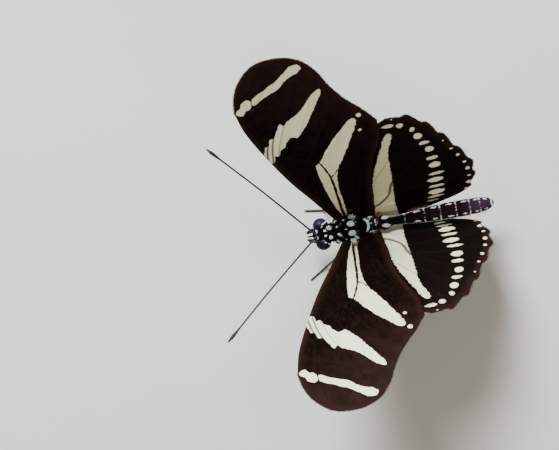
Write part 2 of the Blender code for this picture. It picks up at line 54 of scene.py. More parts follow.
THORAX_LOW = (-2.0, -3.25, 5.05)
SHIFT = np.array(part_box("thorax")[0]) / MILLIMETRE - np.array(THORAX_LOW)
BODY = "root"

# The wing plane, as in the CAD part, with each side's own raise, sweep and place along the body
LEFT = 1.0
RIGHT = -1.0
SIDES = {"left": LEFT, "right": RIGHT}
WING_RAISE = {LEFT: math.radians(52.5), RIGHT: math.radians(54.1)}
WING_SWEEP = {LEFT: math.radians(1.45), RIGHT: math.radians(-1.85)}
WING_BACK = {LEFT: 0.19, RIGHT: -0.27}
HINGE_OUT = 1.7
HINGE_HEIGHT = 8.2
HINDWING_DROP = 0.88
TIP_BEND = 0.8
TIP_BEND_REACH = 39.0
REAR_BEND = 0.5
REAR_BEND_REACH = 20.0

# The membrane of the dressed wing and its relief
MEMBRANE_MIDDLE = 0.16
MEMBRANE_EDGE = 0.06
EDGE_TAPER = 0.6
PLAN_PITCH = 0.2
VEIN_PITCH = 0.25
VEIN_WIDTH_BASE = 0.26
VEIN_WIDTH_END = 0.13
VEIN_HEIGHT_BASE = 0.15
VEIN_HEIGHT_END = 0.055
PLEAT_DEPTH = 0.1
PLEAT_REACH = 1.3
LINE_HALF_WIDTH = 0.28
LINE_PITCH = 0.15
VEIN_CLEARANCE = 0.07
LINE_CLEARANCE = 0.1
JOIN_DISTANCE = 0.03
ROW_SHARE = 0.87

# The hindwing's teeth: where the notch lies from one vein to the next, and how far the lobe
# between two notches swells
NOTCH_PLACE = 0.14
LOBE_SWELL = 0.16

# Depths for places far outside every mark, and a distance for places far from every line
OUTSIDE = -5.0
LINE_LIMIT = 5.0
FAR_AWAY = 1.0e9

# How much of the wing's raggedness its spots have
SPOT_RAGGEDNESS = 0.45

# The scales fan out from a point inside the wing base: how fine their grain is along and across
GRAIN_START = 2.0
GRAIN_LENGTHWAYS = 1.3
GRAIN_TURN = 60.0

FORE_ENDS = {
    "R1": (28.2, -12.85), "R2": (31.6, -12.4), "R3": (34.7, -11.2), "R4": (37.4, -8.8),
    "R5": (37.9, -5.2), "M1": (36.5, -2.3), "M2": (33.7, -0.35), "M3": (30.3, 1.0),
    "Cu1": (27.0, 2.75), "Cu2": (23.9, 5.0), "A2": (20.7, 6.9),
}
FORE_VEINS = {
    "Sc": [(-0.8, -0.9), (1.6, -2.2), (6.0, -4.35), (13.0, -7.6), (20.5, -10.3)],
    "R": [(-0.8, -0.6), (1.7, -1.5), (7.0, -4.1), (13.0, -6.9), (17.8, -8.2), (23.5, -9.5),
          (27.5, -10.1)],
    "R1": [(13.0, -6.9), (19.6, -9.7), "R1"],
    "R2": [(19.5, -8.6), (25.5, -11.0), "R2"],
    "R3": [(27.5, -10.1), (31.0, -11.1), "R3"],
    "R4": [(27.5, -10.1), (31.0, -10.0), (34.6, -9.6), "R4"],
    "R5": [(31.0, -10.0), (34.5, -7.4), "R5"],
    "M1": [(17.8, -8.2), (24.0, -6.4), (31.0, -4.0), "M1"],
    "M2": [(16.4, -6.0), (21.2, -4.7), (27.5, -2.4), "M2"],
    "M3": [(15.1, -3.9), (20.5, -1.7), (25.5, 0.2), "M3"],
    "cell end": [(17.8, -8.2), (16.4, -6.0), (15.1, -3.9), (14.0, -2.35)],
    "Cu": [(-0.8, -0.2), (1.7, -0.6), (5.2, -0.9), (10.25, -1.3), (14.0, -2.35)],
    "Cu1": [(14.0, -2.35), (16.8, -0.8), (21.2, 1.7), "Cu1"],
    "Cu2": [(10.25, -1.3), (12.3, 0.1), (18.0, 2.9), "Cu2"],
    "A2": [(-0.8, 0.9), (1.7, 1.4), (6.0, 2.2), (13.0, 4.2), "A2"],
}
FOREWING = {
    "ends": FORE_ENDS,
    "leading_edge": [(5.5, -4.6), (11.0, -7.3), (17.2, -9.8), (23.5, -11.95)],
    "inner_edge": [(16.8, 6.75), (12.4, 5.35), (8.0, 4.45), (3.0, 4.3)],
    "root": [(-1.0, 3.4), (-1.2, 1.5), (-1.2, -0.6), (-0.9, -1.6)],
    "teeth": 0.0, "centre": (20.0, -3.0), "veins": FORE_VEINS, "lift": 0.0,
    "reach": 38.0,
    "areas": {
        "streak": [(0.6, -0.6), (1.6, -1.0), (3.6, -1.6), (5.2, -2.0), (8.1, -2.55), (10.6, -2.9),
                   (12.9, -3.1), (13.7, -3.0), (14.4, -2.3), (16.8, -1.1), (19.4, 0.6),
                   (21.5, 2.2), (22.35, 3.1), (22.3, 3.6), (21.6, 3.85), (19.5, 3.2),
                   (16.55, 2.0), (13.4, 0.6), (12.3, 0.05), (10.2, -0.35), (7.65, -0.45),
                   (4.45, -0.25), (1.7, -0.05), (0.6, -0.1)],
        "middle band": [(16.2, -9.4), (16.6, -8.7), (17.5, -8.6), (17.7, -7.9), (18.6, -7.6),
                        (19.1, -6.9), (19.9, -6.6), (21.0, -5.7), (20.8, -4.8), (21.9, -3.9),
                        (23.6, -2.95), (26.9, -1.3), (29.0, -0.35), (30.0, -0.3), (29.9, -0.9),
                        (28.8, -1.95), (27.0, -3.15), (25.5, -4.4), (24.7, -5.7), (23.9, -6.4),
                        (24.4, -6.9), (23.7, -7.3), (21.6, -8.2), (21.4, -8.9), (20.2, -9.1),
                        (20.0, -9.6), (18.6, -10.0), (17.5, -10.1)],
        "tip band": [(29.45, -9.95), (30.2, -8.7), (30.9, -7.5), (31.6, -6.15), (32.8, -5.2),
                     (33.65, -4.15), (34.35, -3.05), (35.2, -2.3), (35.9, -2.6), (36.0, -3.4),
                     (35.3, -4.3), (34.25, -5.25), (33.35, -6.2), (32.5, -7.45), (31.6, -8.85),
                     (30.7, -10.05)],
        "front spot": [(27.9, -12.3), (27.7, -11.7), (28.4, -11.2), (29.1, -10.4), (29.9, -10.1),
                       (30.7, -10.4), (30.8, -11.1), (30.2, -11.6), (29.5, -11.8), (29.0, -12.3),
                       (28.4, -12.6)],
    },
    "spots": [(22.9, 4.4, 0.42, 0.42), (19.6, 4.2, 0.3, 0.3)],
    "stems": [("Cu", 0.24, 0.13), ("Cu2", 0.12, 0.0)],
    "red": {LEFT: [], RIGHT: []}, "red under": [(2.2, -2.6, 1.0, 0.28)], "tip tint": (14.0, 34.0),
    "lines": [(0.6, [(17.0, -8.1), (21.0, -7.3), (26.0, -5.6)]),
              (0.9, [(16.4, -9.0), (20.0, -8.6), (24.5, -7.4)]),
              (1.0, [(16.6, -9.75), (19.0, -9.5), (22.0, -8.9)]),
              (0.7, [(27.6, -10.2), (30.9, -10.1), (33.0, -9.9)]),
              (0.5, [(29.0, -10.3), (31.5, -8.2)])],
    "shade": [(0.0, 0.85), (5.0, 0.65), (16.0, 0.2), (26.0, 0.0)], "raggedness": 0.45,
}
HIND_ENDS = {
    "Sc": (19.6, 7.9), "Rs": (19.75, 11.0), "M1": (17.15, 13.8), "M2": (13.7, 16.0),
    "M3": (9.8, 18.0), "Cu1": (6.1, 19.75), "Cu2": (2.9, 20.0), "A2": (0.0, 19.1),
}
HIND_VEINS = {
    "Sc": [(-1.6, 0.9), (1.3, 1.4), (6.0, 0.4), (13.0, 2.3), (17.4, 5.4), "Sc"],
    "R": [(-1.6, 1.6), (1.0, 2.3), (4.2, 3.0), (7.6, 4.7), (9.2, 6.6)],
    "Rs": [(7.6, 4.7), (13.5, 5.9), (17.4, 8.4), "Rs"],
    "M1": [(9.2, 6.6), (13.5, 8.4), (16.6, 10.9), "M1"],
    "M2": [(8.2, 8.0), (11.5, 10.4), (13.3, 12.7), "M2"],
    "M3": [(6.5, 8.9), (8.5, 11.3), (9.6, 13.8), "M3"],
    "cell end": [(9.2, 6.6), (8.2, 8.0), (6.5, 8.9), (4.9, 8.3)],
    "Cu": [(-1.6, 2.8), (0.6, 4.1), (1.5, 5.4), (3.0, 6.9), (4.9, 8.3)],
    "Cu1": [(4.9, 8.3), (5.7, 11.3), (5.95, 14.2), "Cu1"],
    "Cu2": [(3.0, 6.9), (2.8, 10.5), (2.75, 14.2), "Cu2"],
    "A2": [(-1.9, 3.4), (-0.2, 5.3), (0.1, 9.0), (0.1, 13.6), "A2"],
}
HINDWING = {
    "ends": HIND_ENDS,
    "leading_edge": [(3.2, -0.5), (6.6, -0.9), (10.3, -0.3), (14.1, 1.5), (17.6, 4.6)],
    "inner_edge": [(-1.4, 16.9), (-2.55, 13.0), (-3.25, 10.0), (-3.5, 7.6), (-3.4, 6.2)],
    "root": [(-2.8, 5.2), (-2.5, 3.8), (-2.1, 2.2), (-1.7, 0.7)],
    "teeth": 0.62, "centre": (8.0, 8.0),
    "veins": HIND_VEINS, "lift": -HINDWING_DROP, "reach": 21.0,
    "areas": {
        "band": [(-3.6, 7.3), (0.15, 7.3), (2.75, 7.4), (5.8, 7.5), (8.2, 7.5), (10.8, 7.55),
                 (12.7, 7.7), (14.2, 8.15), (15.4, 8.55), (16.1, 8.4), (16.3, 7.9), (15.6, 7.35),
                 (13.6, 6.75), (11.2, 6.0), (9.0, 5.25), (7.0, 4.75), (5.0, 4.5), (2.4, 4.35),
                 (-0.6, 4.2), (-3.6, 4.3)],
    },
    "spots": [
        (-1.4, 13.0, 0.25, 0.9), (-0.5, 13.45, 0.27, 1.3), (0.6, 13.75, 0.48, 1.2),
        (1.9, 13.9, 0.32, 1.2), (3.45, 13.85, 0.5, 1.2), (4.9, 14.15, 0.36, 1.15),
        (6.95, 14.15, 0.6, 0.9), (8.65, 13.9, 0.42, 0.9), (10.8, 13.7, 0.58, 0.65),
        (12.5, 13.05, 0.4, 0.75), (14.3, 12.35, 0.6, 0.65), (16.05, 11.65, 0.55, 0.4),
        (17.5, 9.95, 0.5, 0.5), (17.95, 8.2, 0.35, 0.85),
        (-0.3, 18.2, 0.18, 0.3), (1.0, 18.7, 0.3, 0.4), (2.65, 18.9, 0.24, 0.28),
        (4.3, 18.85, 0.36, 0.36), (6.05, 18.5, 0.26, 0.28), (7.9, 17.7, 0.33, 0.3),
        (9.8, 16.85, 0.22, 0.2), (11.9, 15.85, 0.14, 0.14), (19.2, 8.9, 0.14, 0.2),
    ],
    "stems": [],
    "red": {LEFT: [], RIGHT: [(-2.5, 10.7, 0.26, 1.8), (-1.35, 4.55, 0.5, 0.34)]},
    "red under": [(-2.2, 11.1, 0.3, 1.0), (-0.4, 3.1, 0.35, 0.5), (1.2, 2.2, 0.3, 0.45),
                  (0.6, 5.0, 0.3, 0.4)],
    "tip tint": (14.0, 40.0),
    "lines": [(1.2, [(-0.6, 3.5), (0.15, 4.2), (0.7, 5.15), (2.3, 6.55), (4.4, 7.15), (5.2, 7.5)]),
              (0.6, [(5.9, 4.6), (8.0, 6.0), (10.0, 7.25)]),
              (0.3, [(4.7, 4.55), (5.6, 5.9), (6.8, 7.3)]), (0.3, [(5.4, 5.9), (4.4, 7.4)]),
              (0.45, [(-1.9, 4.4), (-1.8, 6.0), (-1.9, 7.2)]), (0.4, [(-0.6, 4.4), (-0.4, 7.2)]),
              (0.35, [(1.2, 6.0), (1.3, 7.2)])],
    "shade": [(-3.0, 0.25), (1.5, 0.5), (4.5, 0.7), (16.0, 0.45)], "raggedness": 0.75,
}


# Arrays of points

def smooth_path(points, steps, closed=False):
    """A smooth curve through the points, with some steps in each span between two of them."""
    points = np.array(points, float)
    if closed:
        ahead = np.vstack([points[-1:], points, points[:2]])
    else:
        ahead = np.vstack([2.0 * points[:1] - points[1:2], points,
                           2.0 * points[-1:] - points[-2:-1]])
    t = (np.arange(steps) / steps)[:, None]
    spans = []
    for before, start, end, after in zip(ahead, ahead[1:], ahead[2:], ahead[3:]):
        spans.append(0.5 * (2.0 * start + (end - before) * t
                            + (2.0 * before - 5.0 * start + 4.0 * end - after) * t ** 2
                            + (3.0 * start - before - 3.0 * end + after) * t ** 3))
    if not closed:
        spans.append(points[-1:])
    return np.vstack(spans)


def resample(path, pitch):
    """The path again, with its points evenly spaced."""
    steps = np.linalg.norm(np.diff(path, axis=0), axis=1)
    along = np.concatenate([[0.0], np.cumsum(steps)])
    count = max(2, int(round(along[-1] / pitch)) + 1)
    places = np.linspace(0.0, along[-1], count)
    return np.stack([np.interp(places, along, path[:, axis]) for axis in range(path.shape[1])], 1)


def rounded(path, rounds):
    """The path with its corners cut, ends kept."""
    for _ in range(rounds):
        first = path[:-1] * 0.75 + path[1:] * 0.25
        second = path[:-1] * 0.25 + path[1:] * 0.75
        path = np.vstack([path[:1], np.stack([first, second], 1).reshape(-1, 2), path[-1:]])
    return path


def ease(low, high, values):
    """0 below low, 1 above high and smooth between them."""
    share = np.clip((values - low) / (high - low), 0.0, 1.0)
    return share * share * (3.0 - 2.0 * share)


def profile(rows, places):
    """Smooth values at some places, read from rows of (place, value)."""
    rows = np.array(rows, float)
    column = np.clip(np.searchsorted(rows[:, 0], places) - 1, 0, len(rows) - 2)
    start, end = rows[column], rows[column + 1]
    share = ease(0.0, 1.0, (places - start[:, 0]) / (end[:, 0] - start[:, 0]))
    return start[:, 1] + (end[:, 1] - start[:, 1]) * share


def swelling(along):
    """A width along a mark, 0 to 1: full in the middle and a third of it at the blunt ends."""
    return np.sin(math.pi * (0.12 + 0.76 * along))


def distance_to_line(places, line):
    """How far each place lies from a line of points, and how far along the line, 0 to 1."""
    nearest = np.full(len(places), FAR_AWAY)
    along = np.zeros(len(places))
    for index, (start, end) in enumerate(zip(line[:-1], line[1:])):
        run = end - start
        share = np.clip((places - start) @ run / max(run @ run, 1.0e-12), 0.0, 1.0)
        away = np.linalg.norm(places - start - share[:, None] * run, axis=1)
        closer = away < nearest
        nearest[closer] = away[closer]
        along[closer] = (index + share[closer]) / (len(line) - 1)
    return nearest, along


def inside(places, outline):
    """Whether each place lies inside a closed outline."""
    within = np.zeros(len(places), bool)
    for first, second in zip(outline, np.roll(outline, -1, axis=0)):
        if first[1] == second[1]:
            continue
        between = (first[1] > places[:, 1]) != (second[1] > places[:, 1])
        crossing = first[0] + (places[:, 1] - first[1]) * (second[0] - first[0]) / (second[1] - first[1])
        within ^= between & (crossing > places[:, 0])
    return within


def depth_in_area(places, outline):
    """Distance to the outline, positive inside it and negative outside."""
    away, _ = distance_to_line(places, np.vstack([outline, outline[:1]]))
    return np.where(inside(places, outline), away, -away)


def depth_in_spot(places, spot):
    """About the same for an ellipse given as (outward, rearward, half width, half length)."""
    outward, rearward, half_width, half_length = spot
    reach = np.hypot((places[:, 0] - outward) / half_width, (places[:, 1] - rearward) / half_length)
    return (1.0 - reach) * min(half_width, half_length)


# Objects

def to_metres(points):
    """Points of the body frame, in millimetres, as points of the CAD frame."""
    return (np.asarray(points, float) + SHIFT) * MILLIMETRE


def turn_outwards(mesh):
    """Let all faces of a closed mesh look outwards."""
    shape = bmesh.new()
    shape.from_mesh(mesh)
    bmesh.ops.recalc_face_normals(shape, faces=shape.faces)
    shape.to_mesh(mesh)
    shape.free()


def add_piece(name, points, faces, materials, replaced, values=None, coat=False):
    """A mesh piece from points in millimetres, riding on the body, with values at its points.

    A coat piece keeps its flat blades. Every other one is shaded smooth and turned outwards.
    """
    mesh = bpy.data.meshes.new(name)
    if isinstance(faces, np.ndarray):
        faces = faces.tolist()
    mesh.from_pydata(to_metres(points).tolist(), [], faces)
    for entry in materials:
        mesh.materials.append(entry)
    for key, entry in (values or {}).items():
        entry = np.ascontiguousarray(entry, dtype=np.float32)
        if entry.ndim == 1:
            mesh.attributes.new(key, "FLOAT", "POINT").data.foreach_set("value", entry)
        else:
            mesh.attributes.new(key, "FLOAT_VECTOR", "POINT").data.foreach_set("vector", entry.ravel())
    if not coat:
        mesh.shade_smooth()
        turn_outwards(mesh)
    piece = bpy.data.objects.new(name, mesh)
    bpy.context.scene.collection.objects.link(piece)
    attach(piece, BODY)
    if replaced:
        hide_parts(*replaced)
    return piece


def join_parts(parts):
    """Points and faces of several parts as one."""
    points = []
    faces = []
    count = 0
    for part_points, part_faces in parts:
        points.append(np.asarray(part_points, float))
        faces.extend([tuple(corner + count for corner in face) for face in part_faces])
        count += len(part_points)
    return np.vstack(points), faces


def close_rings(rings):
    """Points and faces of the closed body that passes through the rings."""
    rings = np.asarray(rings)
    count = rings.shape[1]
    points = np.vstack([rings.reshape(-1, 3), rings[0].mean(0)[None], rings[-1].mean(0)[None]])
    faces = []
    for row in range(len(rings) - 1):
        for column in range(count):
            beside = (column + 1) % count
            faces.append((row * count + beside, row * count + column,
                          (row + 1) * count + column, (row + 1) * count + beside))
    last = (len(rings) - 1) * count
    for column in range(count):
        beside = (column + 1) % count
        faces.append((column, beside, len(points) - 2))
        faces.append((last + beside, last + column, len(points) - 1))
    return points, faces


def tube(path, radii, sides, flatten=1.0):
    """A tube along a path with one radius a point, closed at both ends."""
    path = np.asarray(path, float)
    radii = np.broadcast_to(np.asarray(radii, float), (len(path),))
    runs = np.gradient(path, axis=0)
    runs /= np.linalg.norm(runs, axis=1)[:, None]
    across = np.cross(runs[0], (0.0, 0.0, 1.0))
    if np.linalg.norm(across) < 0.1:
        across = np.array((1.0, 0.0, 0.0))
    turns = np.arange(sides) * math.tau / sides
    rings = []
    for point, run, radius in zip(path, runs, radii):
        across = across - run * (across @ run)
        across /= np.linalg.norm(across)
        upward = np.cross(across, run)
        rings.append(point + radius * (np.cos(turns)[:, None] * across
                                       + flatten * np.sin(turns)[:, None] * upward))
    return close_rings(rings)


ELLIPSOID_ROWS = 16
ELLIPSOID_COLUMNS = 24


def ellipsoid(centre, radii):
    """A closed ellipsoid."""
    tilts = (np.arange(ELLIPSOID_ROWS) + 0.5) * math.pi / ELLIPSOID_ROWS - math.pi / 2.0
    turns = np.arange(ELLIPSOID_COLUMNS) * math.tau / ELLIPSOID_COLUMNS
    rings = []
    for tilt in tilts[::-1]:
        ring = np.stack([np.cos(turns) * math.cos(tilt) * radii[0],
                         np.sin(turns) * math.cos(tilt) * radii[1],
                         np.full(ELLIPSOID_COLUMNS, math.sin(tilt) * radii[2])], 1)
        rings.append(ring)
    return close_rings(np.array(rings) + np.array(centre))


# Materials

class Surface:
    """A material with one shader, and short ways to add its nodes."""

    def __init__(self, name, constants):
        self.material = bpy.data.materials.new(name)
        self.material.use_nodes = True
        self.tree = self.material.node_tree
        self.shader = self.tree.nodes["Principled BSDF"]
        for socket, value in constants.items():
            self.shader.inputs[socket].default_value = value

    def add(self, kind, inputs=(), **settings):
        made = self.tree.nodes.new(kind)
        for key, value in settings.items():
            setattr(made, key, value)
        for socket, value in dict(inputs).items():
            self.feed(made.inputs[socket], value)
        return made

    def feed(self, socket, value):
        if isinstance(value, bpy.types.NodeSocket):
            self.tree.links.new(value, socket)
        elif isinstance(value, tuple) and len(value) == 3 and socket.type == "RGBA":
            socket.default_value = (*value, 1.0)
        else:
            socket.default_value = value

    def value(self, name):
        return self.add("ShaderNodeAttribute", attribute_name=name).outputs["Fac"]

    def vector(self, name):
        return self.add("ShaderNodeAttribute", attribute_name=name).outputs["Vector"]

    def millimetres(self):
        """Places on the object, in millimetres."""
        where = self.add("ShaderNodeTexCoord").outputs["Object"]
        return self.stretch(where, (1.0 / MILLIMETRE,) * 3)

    def stretch(self, vector, scale):
        return self.add("ShaderNodeVectorMath", {0: vector, 1: scale}, operation="MULTIPLY").outputs[0]

    def calc(self, operation, first, second, third=0.0):
        return self.add("ShaderNodeMath", {0: first, 1: second, 2: third},
                        operation=operation).outputs[0]

    def ease(self, value, low, high):
        return self.add("ShaderNodeMapRange",
                        {"Value": value, "From Min": low, "From Max": high},
                        interpolation_type="SMOOTHSTEP").outputs["Result"]

    def between(self, value, low, high):
        """A value from 0 to 1 mapped to the range from low to high."""
        return self.add("ShaderNodeMapRange",
                        {"Value": value, "To Min": low, "To Max": high}).outputs["Result"]

    def noise(self, vector, scale, detail):
        return self.add("ShaderNodeTexNoise", {"Vector": vector, "Scale": scale, "Detail": detail,
                                               "Roughness": 0.55}).outputs["Fac"]

    def stray(self, noise, reach, value):
        """A value that noise carries up and down by half the reach."""
        return self.calc("MULTIPLY_ADD", self.calc("SUBTRACT", noise, 0.5), reach, value)

    def some(self, share, value, low, high):
        """A part of the way from 0 to 1 that the value makes between low and high."""
        return self.calc("MULTIPLY", self.ease(value, low, high), share)

    def cells(self, vector, randomness):
        return self.add("ShaderNodeTexVoronoi", {"Vector": vector, "Scale": 1.0,
                                                 "Randomness": randomness},
                        feature="F1").outputs["Distance"]

    def mix(self, share, first, second):
        return self.add("ShaderNodeMix", {0: share, 6: first, 7: second},
                        data_type="RGBA").outputs[2]

    def bump(self, height, distance, strength, under=None):
        inputs = {"Height": height, "Distance": distance * MILLIMETRE, "Strength": strength}
        if under is not None:
            inputs["Normal"] = under
        return self.add("ShaderNodeBump", inputs).outputs["Normal"]

    def finish(self, colour, roughness, normal):
        self.feed(self.shader.inputs["Base Color"], colour)
        self.feed(self.shader.inputs["Roughness"], roughness)
        self.feed(self.shader.inputs["Normal"], normal)
        return self.material


WING_FACES = {
    "upper": {"dark": (0.0020, 0.0007, 0.0005), "brown": (0.0072, 0.0030, 0.0021),
              "cool dark": (0.0030, 0.0018, 0.0014), "edge": (0.021, 0.0088, 0.0056),
              "vein": (0.010, 0.0044, 0.0030), "tip": (0.018, 0.0082, 0.0076),
              "line": (0.055, 0.038, 0.022), "cream": (0.83, 0.82, 0.62),
              "shaded cream": (0.40, 0.375, 0.235), "stem": (0.012, 0.0026, 0.0016),
              "red": (1.0, 0.15, 0.03)},
    "under": {"dark": (0.020, 0.0115, 0.0095), "brown": (0.040, 0.023, 0.019),
              "cool dark": (0.020, 0.0125, 0.0110), "edge": (0.05, 0.030, 0.022),
              "vein": (0.065, 0.040, 0.028), "tip": (0.045, 0.027, 0.023),
              "line": (0.14, 0.09, 0.055), "cream": (0.62, 0.59, 0.48),
              "shaded cream": (0.46, 0.42, 0.31), "stem": (0.04, 0.012, 0.008),
              "red": (0.68, 0.04, 0.022)},
}

# How many scales lie side by side in a millimetre, across, along and upwards
WING_SCALES_PER_MM = (9.0, 5.0, 1.0)
BODY_SCALES_PER_MM = (14.0, 7.0, 14.0)


def wing_material(face):
    """Scaled membrane: brown ground, cream areas with a toothed rim, tinted veins, red spots."""
    colours = WING_FACES[face]
    s = Surface("wing " + face, {"Specular IOR Level": 0.02})
    plan = s.vector("plan")
    cream_depth = s.value("cream")
    vein_distance = s.value("vein")
    edge_distance = s.value("edge")
    stem_depth = s.value("stem")
    red_depth = s.value("red")
    broad = s.noise(plan, 0.45, 4.0)
    fine = s.noise(plan, 6.0, 3.0)
    comb = s.noise(s.vector("grain"), 1.0, 2.0)
    rows = s.stretch(plan, WING_SCALES_PER_MM)
    scales = s.cells(rows, 0.9)
    rearward = s.add("ShaderNodeSeparateXYZ", {0: plan}).outputs["Y"]
    tip = s.value("tip")
    streaks = s.calc("MULTIPLY_ADD", tip, 0.35, s.stray(comb, 1.4, broad))

    ground = s.mix(s.ease(streaks, 0.4, 0.85), colours["dark"], colours["brown"])
    ground = s.mix(s.ease(rearward, 4.5, 8.5), ground, colours["cool dark"])
    ground = s.mix(s.some(0.7, edge_distance, 1.4, 0.0), ground, colours["edge"])
    tip_share = s.calc("MULTIPLY", tip, s.between(s.ease(broad, 0.35, 0.7), 0.45, 1.1))
    ground = s.mix(tip_share, ground, colours["tip"])
    vein_share = s.calc("MULTIPLY", s.ease(vein_distance, 0.2, 0.02), s.between(fine, 0.1, 0.5))
    ground = s.mix(vein_share, ground, colours["vein"])
    ground = s.mix(s.ease(stem_depth, -0.1, 0.05), ground, colours["stem"])
    ground = s.mix(s.some(0.35, scales, 0.5, 0.05), ground, colours["edge"])

    shade = s.stray(broad, 0.35, s.value("shade"))
    pale = s.mix(shade, colours["cream"], colours["shaded cream"])
    pale = s.mix(s.some(0.15, fine, 0.3, 0.75), pale, colours["shaded cream"])
    pale = s.mix(s.some(0.9, s.value("line"), 1.0, 0.15), pale, colours["line"])

    raggedness = s.add("ShaderNodeSeparateXYZ", {0: s.vector("grain")}).outputs["Z"]
    cream_share = s.ease(s.stray(comb, raggedness, cream_depth), -0.05, 0.06)
    colour = s.mix(cream_share, ground, pale)
    red_share = s.ease(s.stray(fine, 0.2, red_depth), -0.04, 0.08)
    colour = s.mix(red_share, colour, colours["red"])

    roughness = s.between(fine, 0.55, 0.85)
    normal = s.bump(scales, 0.02, 0.35)
    normal = s.bump(fine, 0.03, 0.3, normal)
    return s.finish(colour, roughness, normal)


BODY_ZONES = {"black": (0.0010, 0.0009, 0.0013), "plum": (0.0080, 0.0028, 0.0038),
              "soft black": (0.0026, 0.0018, 0.0024), "tail": (0.046, 0.024, 0.046),
              "pale": (0.30, 0.385, 0.36), "white": (0.64, 0.66, 0.71),
              "red": (0.80, 0.075, 0.03)}


def body_material(name, tuft):
    """Black fur or scales with pale marks. The same markings serve the skin and its coat."""
    s = Surface(name, {"Specular IOR Level": 0.03})
    where = s.millimetres()
    mark = s.value("mark")
    whiteness = s.value("whiteness")
    plum = s.value("plum")
    red = s.value("red")
    broad = s.noise(where, 0.9, 3.0)
    fine = s.noise(where, 7.0, 3.0)
    dark = s.mix(s.ease(fine, 0.3, 0.75), BODY_ZONES["black"], BODY_ZONES["soft black"])
    dark = s.mix(s.calc("MULTIPLY", plum, s.between(broad, 0.6, 1.0)), dark, BODY_ZONES["plum"])
    dark = s.mix(s.calc("MULTIPLY", s.ease(plum, 1.0, 2.0), s.between(broad, 0.4, 1.0)), dark,
                 BODY_ZONES["tail"])
    if tuft:
        dark = s.mix(s.calc("MULTIPLY", s.value("tone"), 0.25), dark, BODY_ZONES["plum"])
    light = s.mix(whiteness, BODY_ZONES["pale"], BODY_ZONES["white"])
    light = s.mix(s.some(0.3, fine, 0.35, 0.8), light, BODY_ZONES["pale"])
    patchy = s.noise(where, 4.5, 2.0)
    colour = s.mix(s.ease(s.stray(patchy, 0.3, mark), -0.03, 0.05), dark, light)
    colour = s.mix(s.ease(red, -0.02, 0.06), colour, BODY_ZONES["red"])
    scales = s.cells(s.stretch(where, BODY_SCALES_PER_MM), 0.85)
    roughness = s.between(fine, 0.35, 0.7)
    normal = s.bump(scales, 0.03, 0.25 if tuft else 0.7)
    return s.finish(colour, roughness, normal)


def eye_material():
    """Glossy dark eyes with purple patches on their domes, a painted sky reflection."""
    s = Surface("eye facets", {"Coat Weight": 0.03, "Coat Roughness": 0.35,
                               "Specular IOR Level": 0.1})
    where = s.millimetres()
    patches = s.noise(where, 2.2, 3.0)
    fine = s.noise(where, 16.0, 2.0)
    purple = s.mix(s.ease(patches, 0.35, 0.65), (0.003, 0.002, 0.004), (0.024, 0.013, 0.038))
    # painted reflection: the dome value mixes the purple sky reflection over the dark eye
    colour = s.mix(s.value("dome"), (0.0015, 0.001, 0.002), purple)
    colour = s.mix(s.some(0.4, fine, 0.4, 0.7), colour, (0.004, 0.003, 0.006))
    roughness = s.between(patches, 0.35, 0.5)
    normal = s.bump(fine, 0.012, 0.5)
    return s.finish(colour, roughness, normal)


def horn_material(name, dark, tint, roughness_low, bump_scale):
    """Dark chitin for feelers, tongue and legs, with a faint tint mixed in by noise as painted sheen."""
    s = Surface(name, {"Specular IOR Level": 0.3, "Coat Weight": 0.05, "Coat Roughness": 0.4})
    where = s.millimetres()
    broad = s.noise(where, 1.2, 3.0)
    fine = s.noise(where, bump_scale, 3.0)
    colour = s.mix(s.ease(broad, 0.35, 0.7), dark, tuple(1.8 * part for part in dark))
    # painted sheen: the tint colour in noisy patches stands in for the chitin's sheen
    colour = s.mix(s.some(0.5, fine, 0.4, 0.7), colour, tint)
    roughness = s.between(fine, roughness_low, roughness_low + 0.25)
    normal = s.bump(fine, 0.015, 0.6)
    return s.finish(colour, roughness, normal)


def hair_material(name, root_colour, tip_colour):
    """Long soft hair, darker at its root."""
    s = Surface(name, {"Sheen Weight": 0.3, "Sheen Roughness": 0.4, "Specular IOR Level": 0.3})
    where = s.millimetres()
    fine = s.noise(where, 8.0, 3.0)
    colour = s.mix(s.calc("MULTIPLY_ADD", s.value("along"), 0.8, 0.15), root_colour, tip_colour)
    colour = s.mix(s.some(0.8, s.value("tone"), 0.3, 1.0), colour, root_colour)
    roughness = s.between(fine, 0.45, 0.75)
    normal = s.bump(fine, 0.01, 0.5)
    return s.finish(colour, roughness, normal)


def floor_material():
    """Pale matt floor; its noise is measured in metres."""
    s = Surface("pale floor", {"Specular IOR Level": 0.2})
    where = s.add("ShaderNodeTexCoord").outputs["Object"]
    fine = s.noise(where, 900.0, 3.0)
    broad = s.noise(where, 12.0, 3.0)
    colour = s.mix(s.ease(broad, 0.3, 0.7), (0.50, 0.497, 0.487), (0.54, 0.537, 0.527))
    roughness = s.between(fine, 0.7, 0.9)
    normal = s.bump(fine, 0.05, 0.1)
    return s.finish(colour, roughness, normal)


# Wings

def bend(places):
    """How far the wing plane bows away from the body at each place."""
    tip = TIP_BEND * (places[:, 0] / TIP_BEND_REACH) ** 2
    rear = REAR_BEND * (np.maximum(places[:, 1], 0.0) / REAR_BEND_REACH) ** 2
    return tip + rear


def wing_points(places, lift, side):
    """Where places of the wing plane lie in space, lifted off it by some height."""
    height = lift - bend(places)
    sweep = WING_SWEEP[side]
    outward = places[:, 0] * math.cos(sweep) - places[:, 1] * math.sin(sweep)
    rearward = places[:, 0] * math.sin(sweep) + places[:, 1] * math.cos(sweep)
    rise = WING_RAISE[side]
    return np.stack([
        side * (HINGE_OUT + outward * math.cos(rise) - height * math.sin(rise)),
        rearward + WING_BACK[side],
        HINGE_HEIGHT + outward * math.sin(rise) + height * math.cos(rise)], 1)


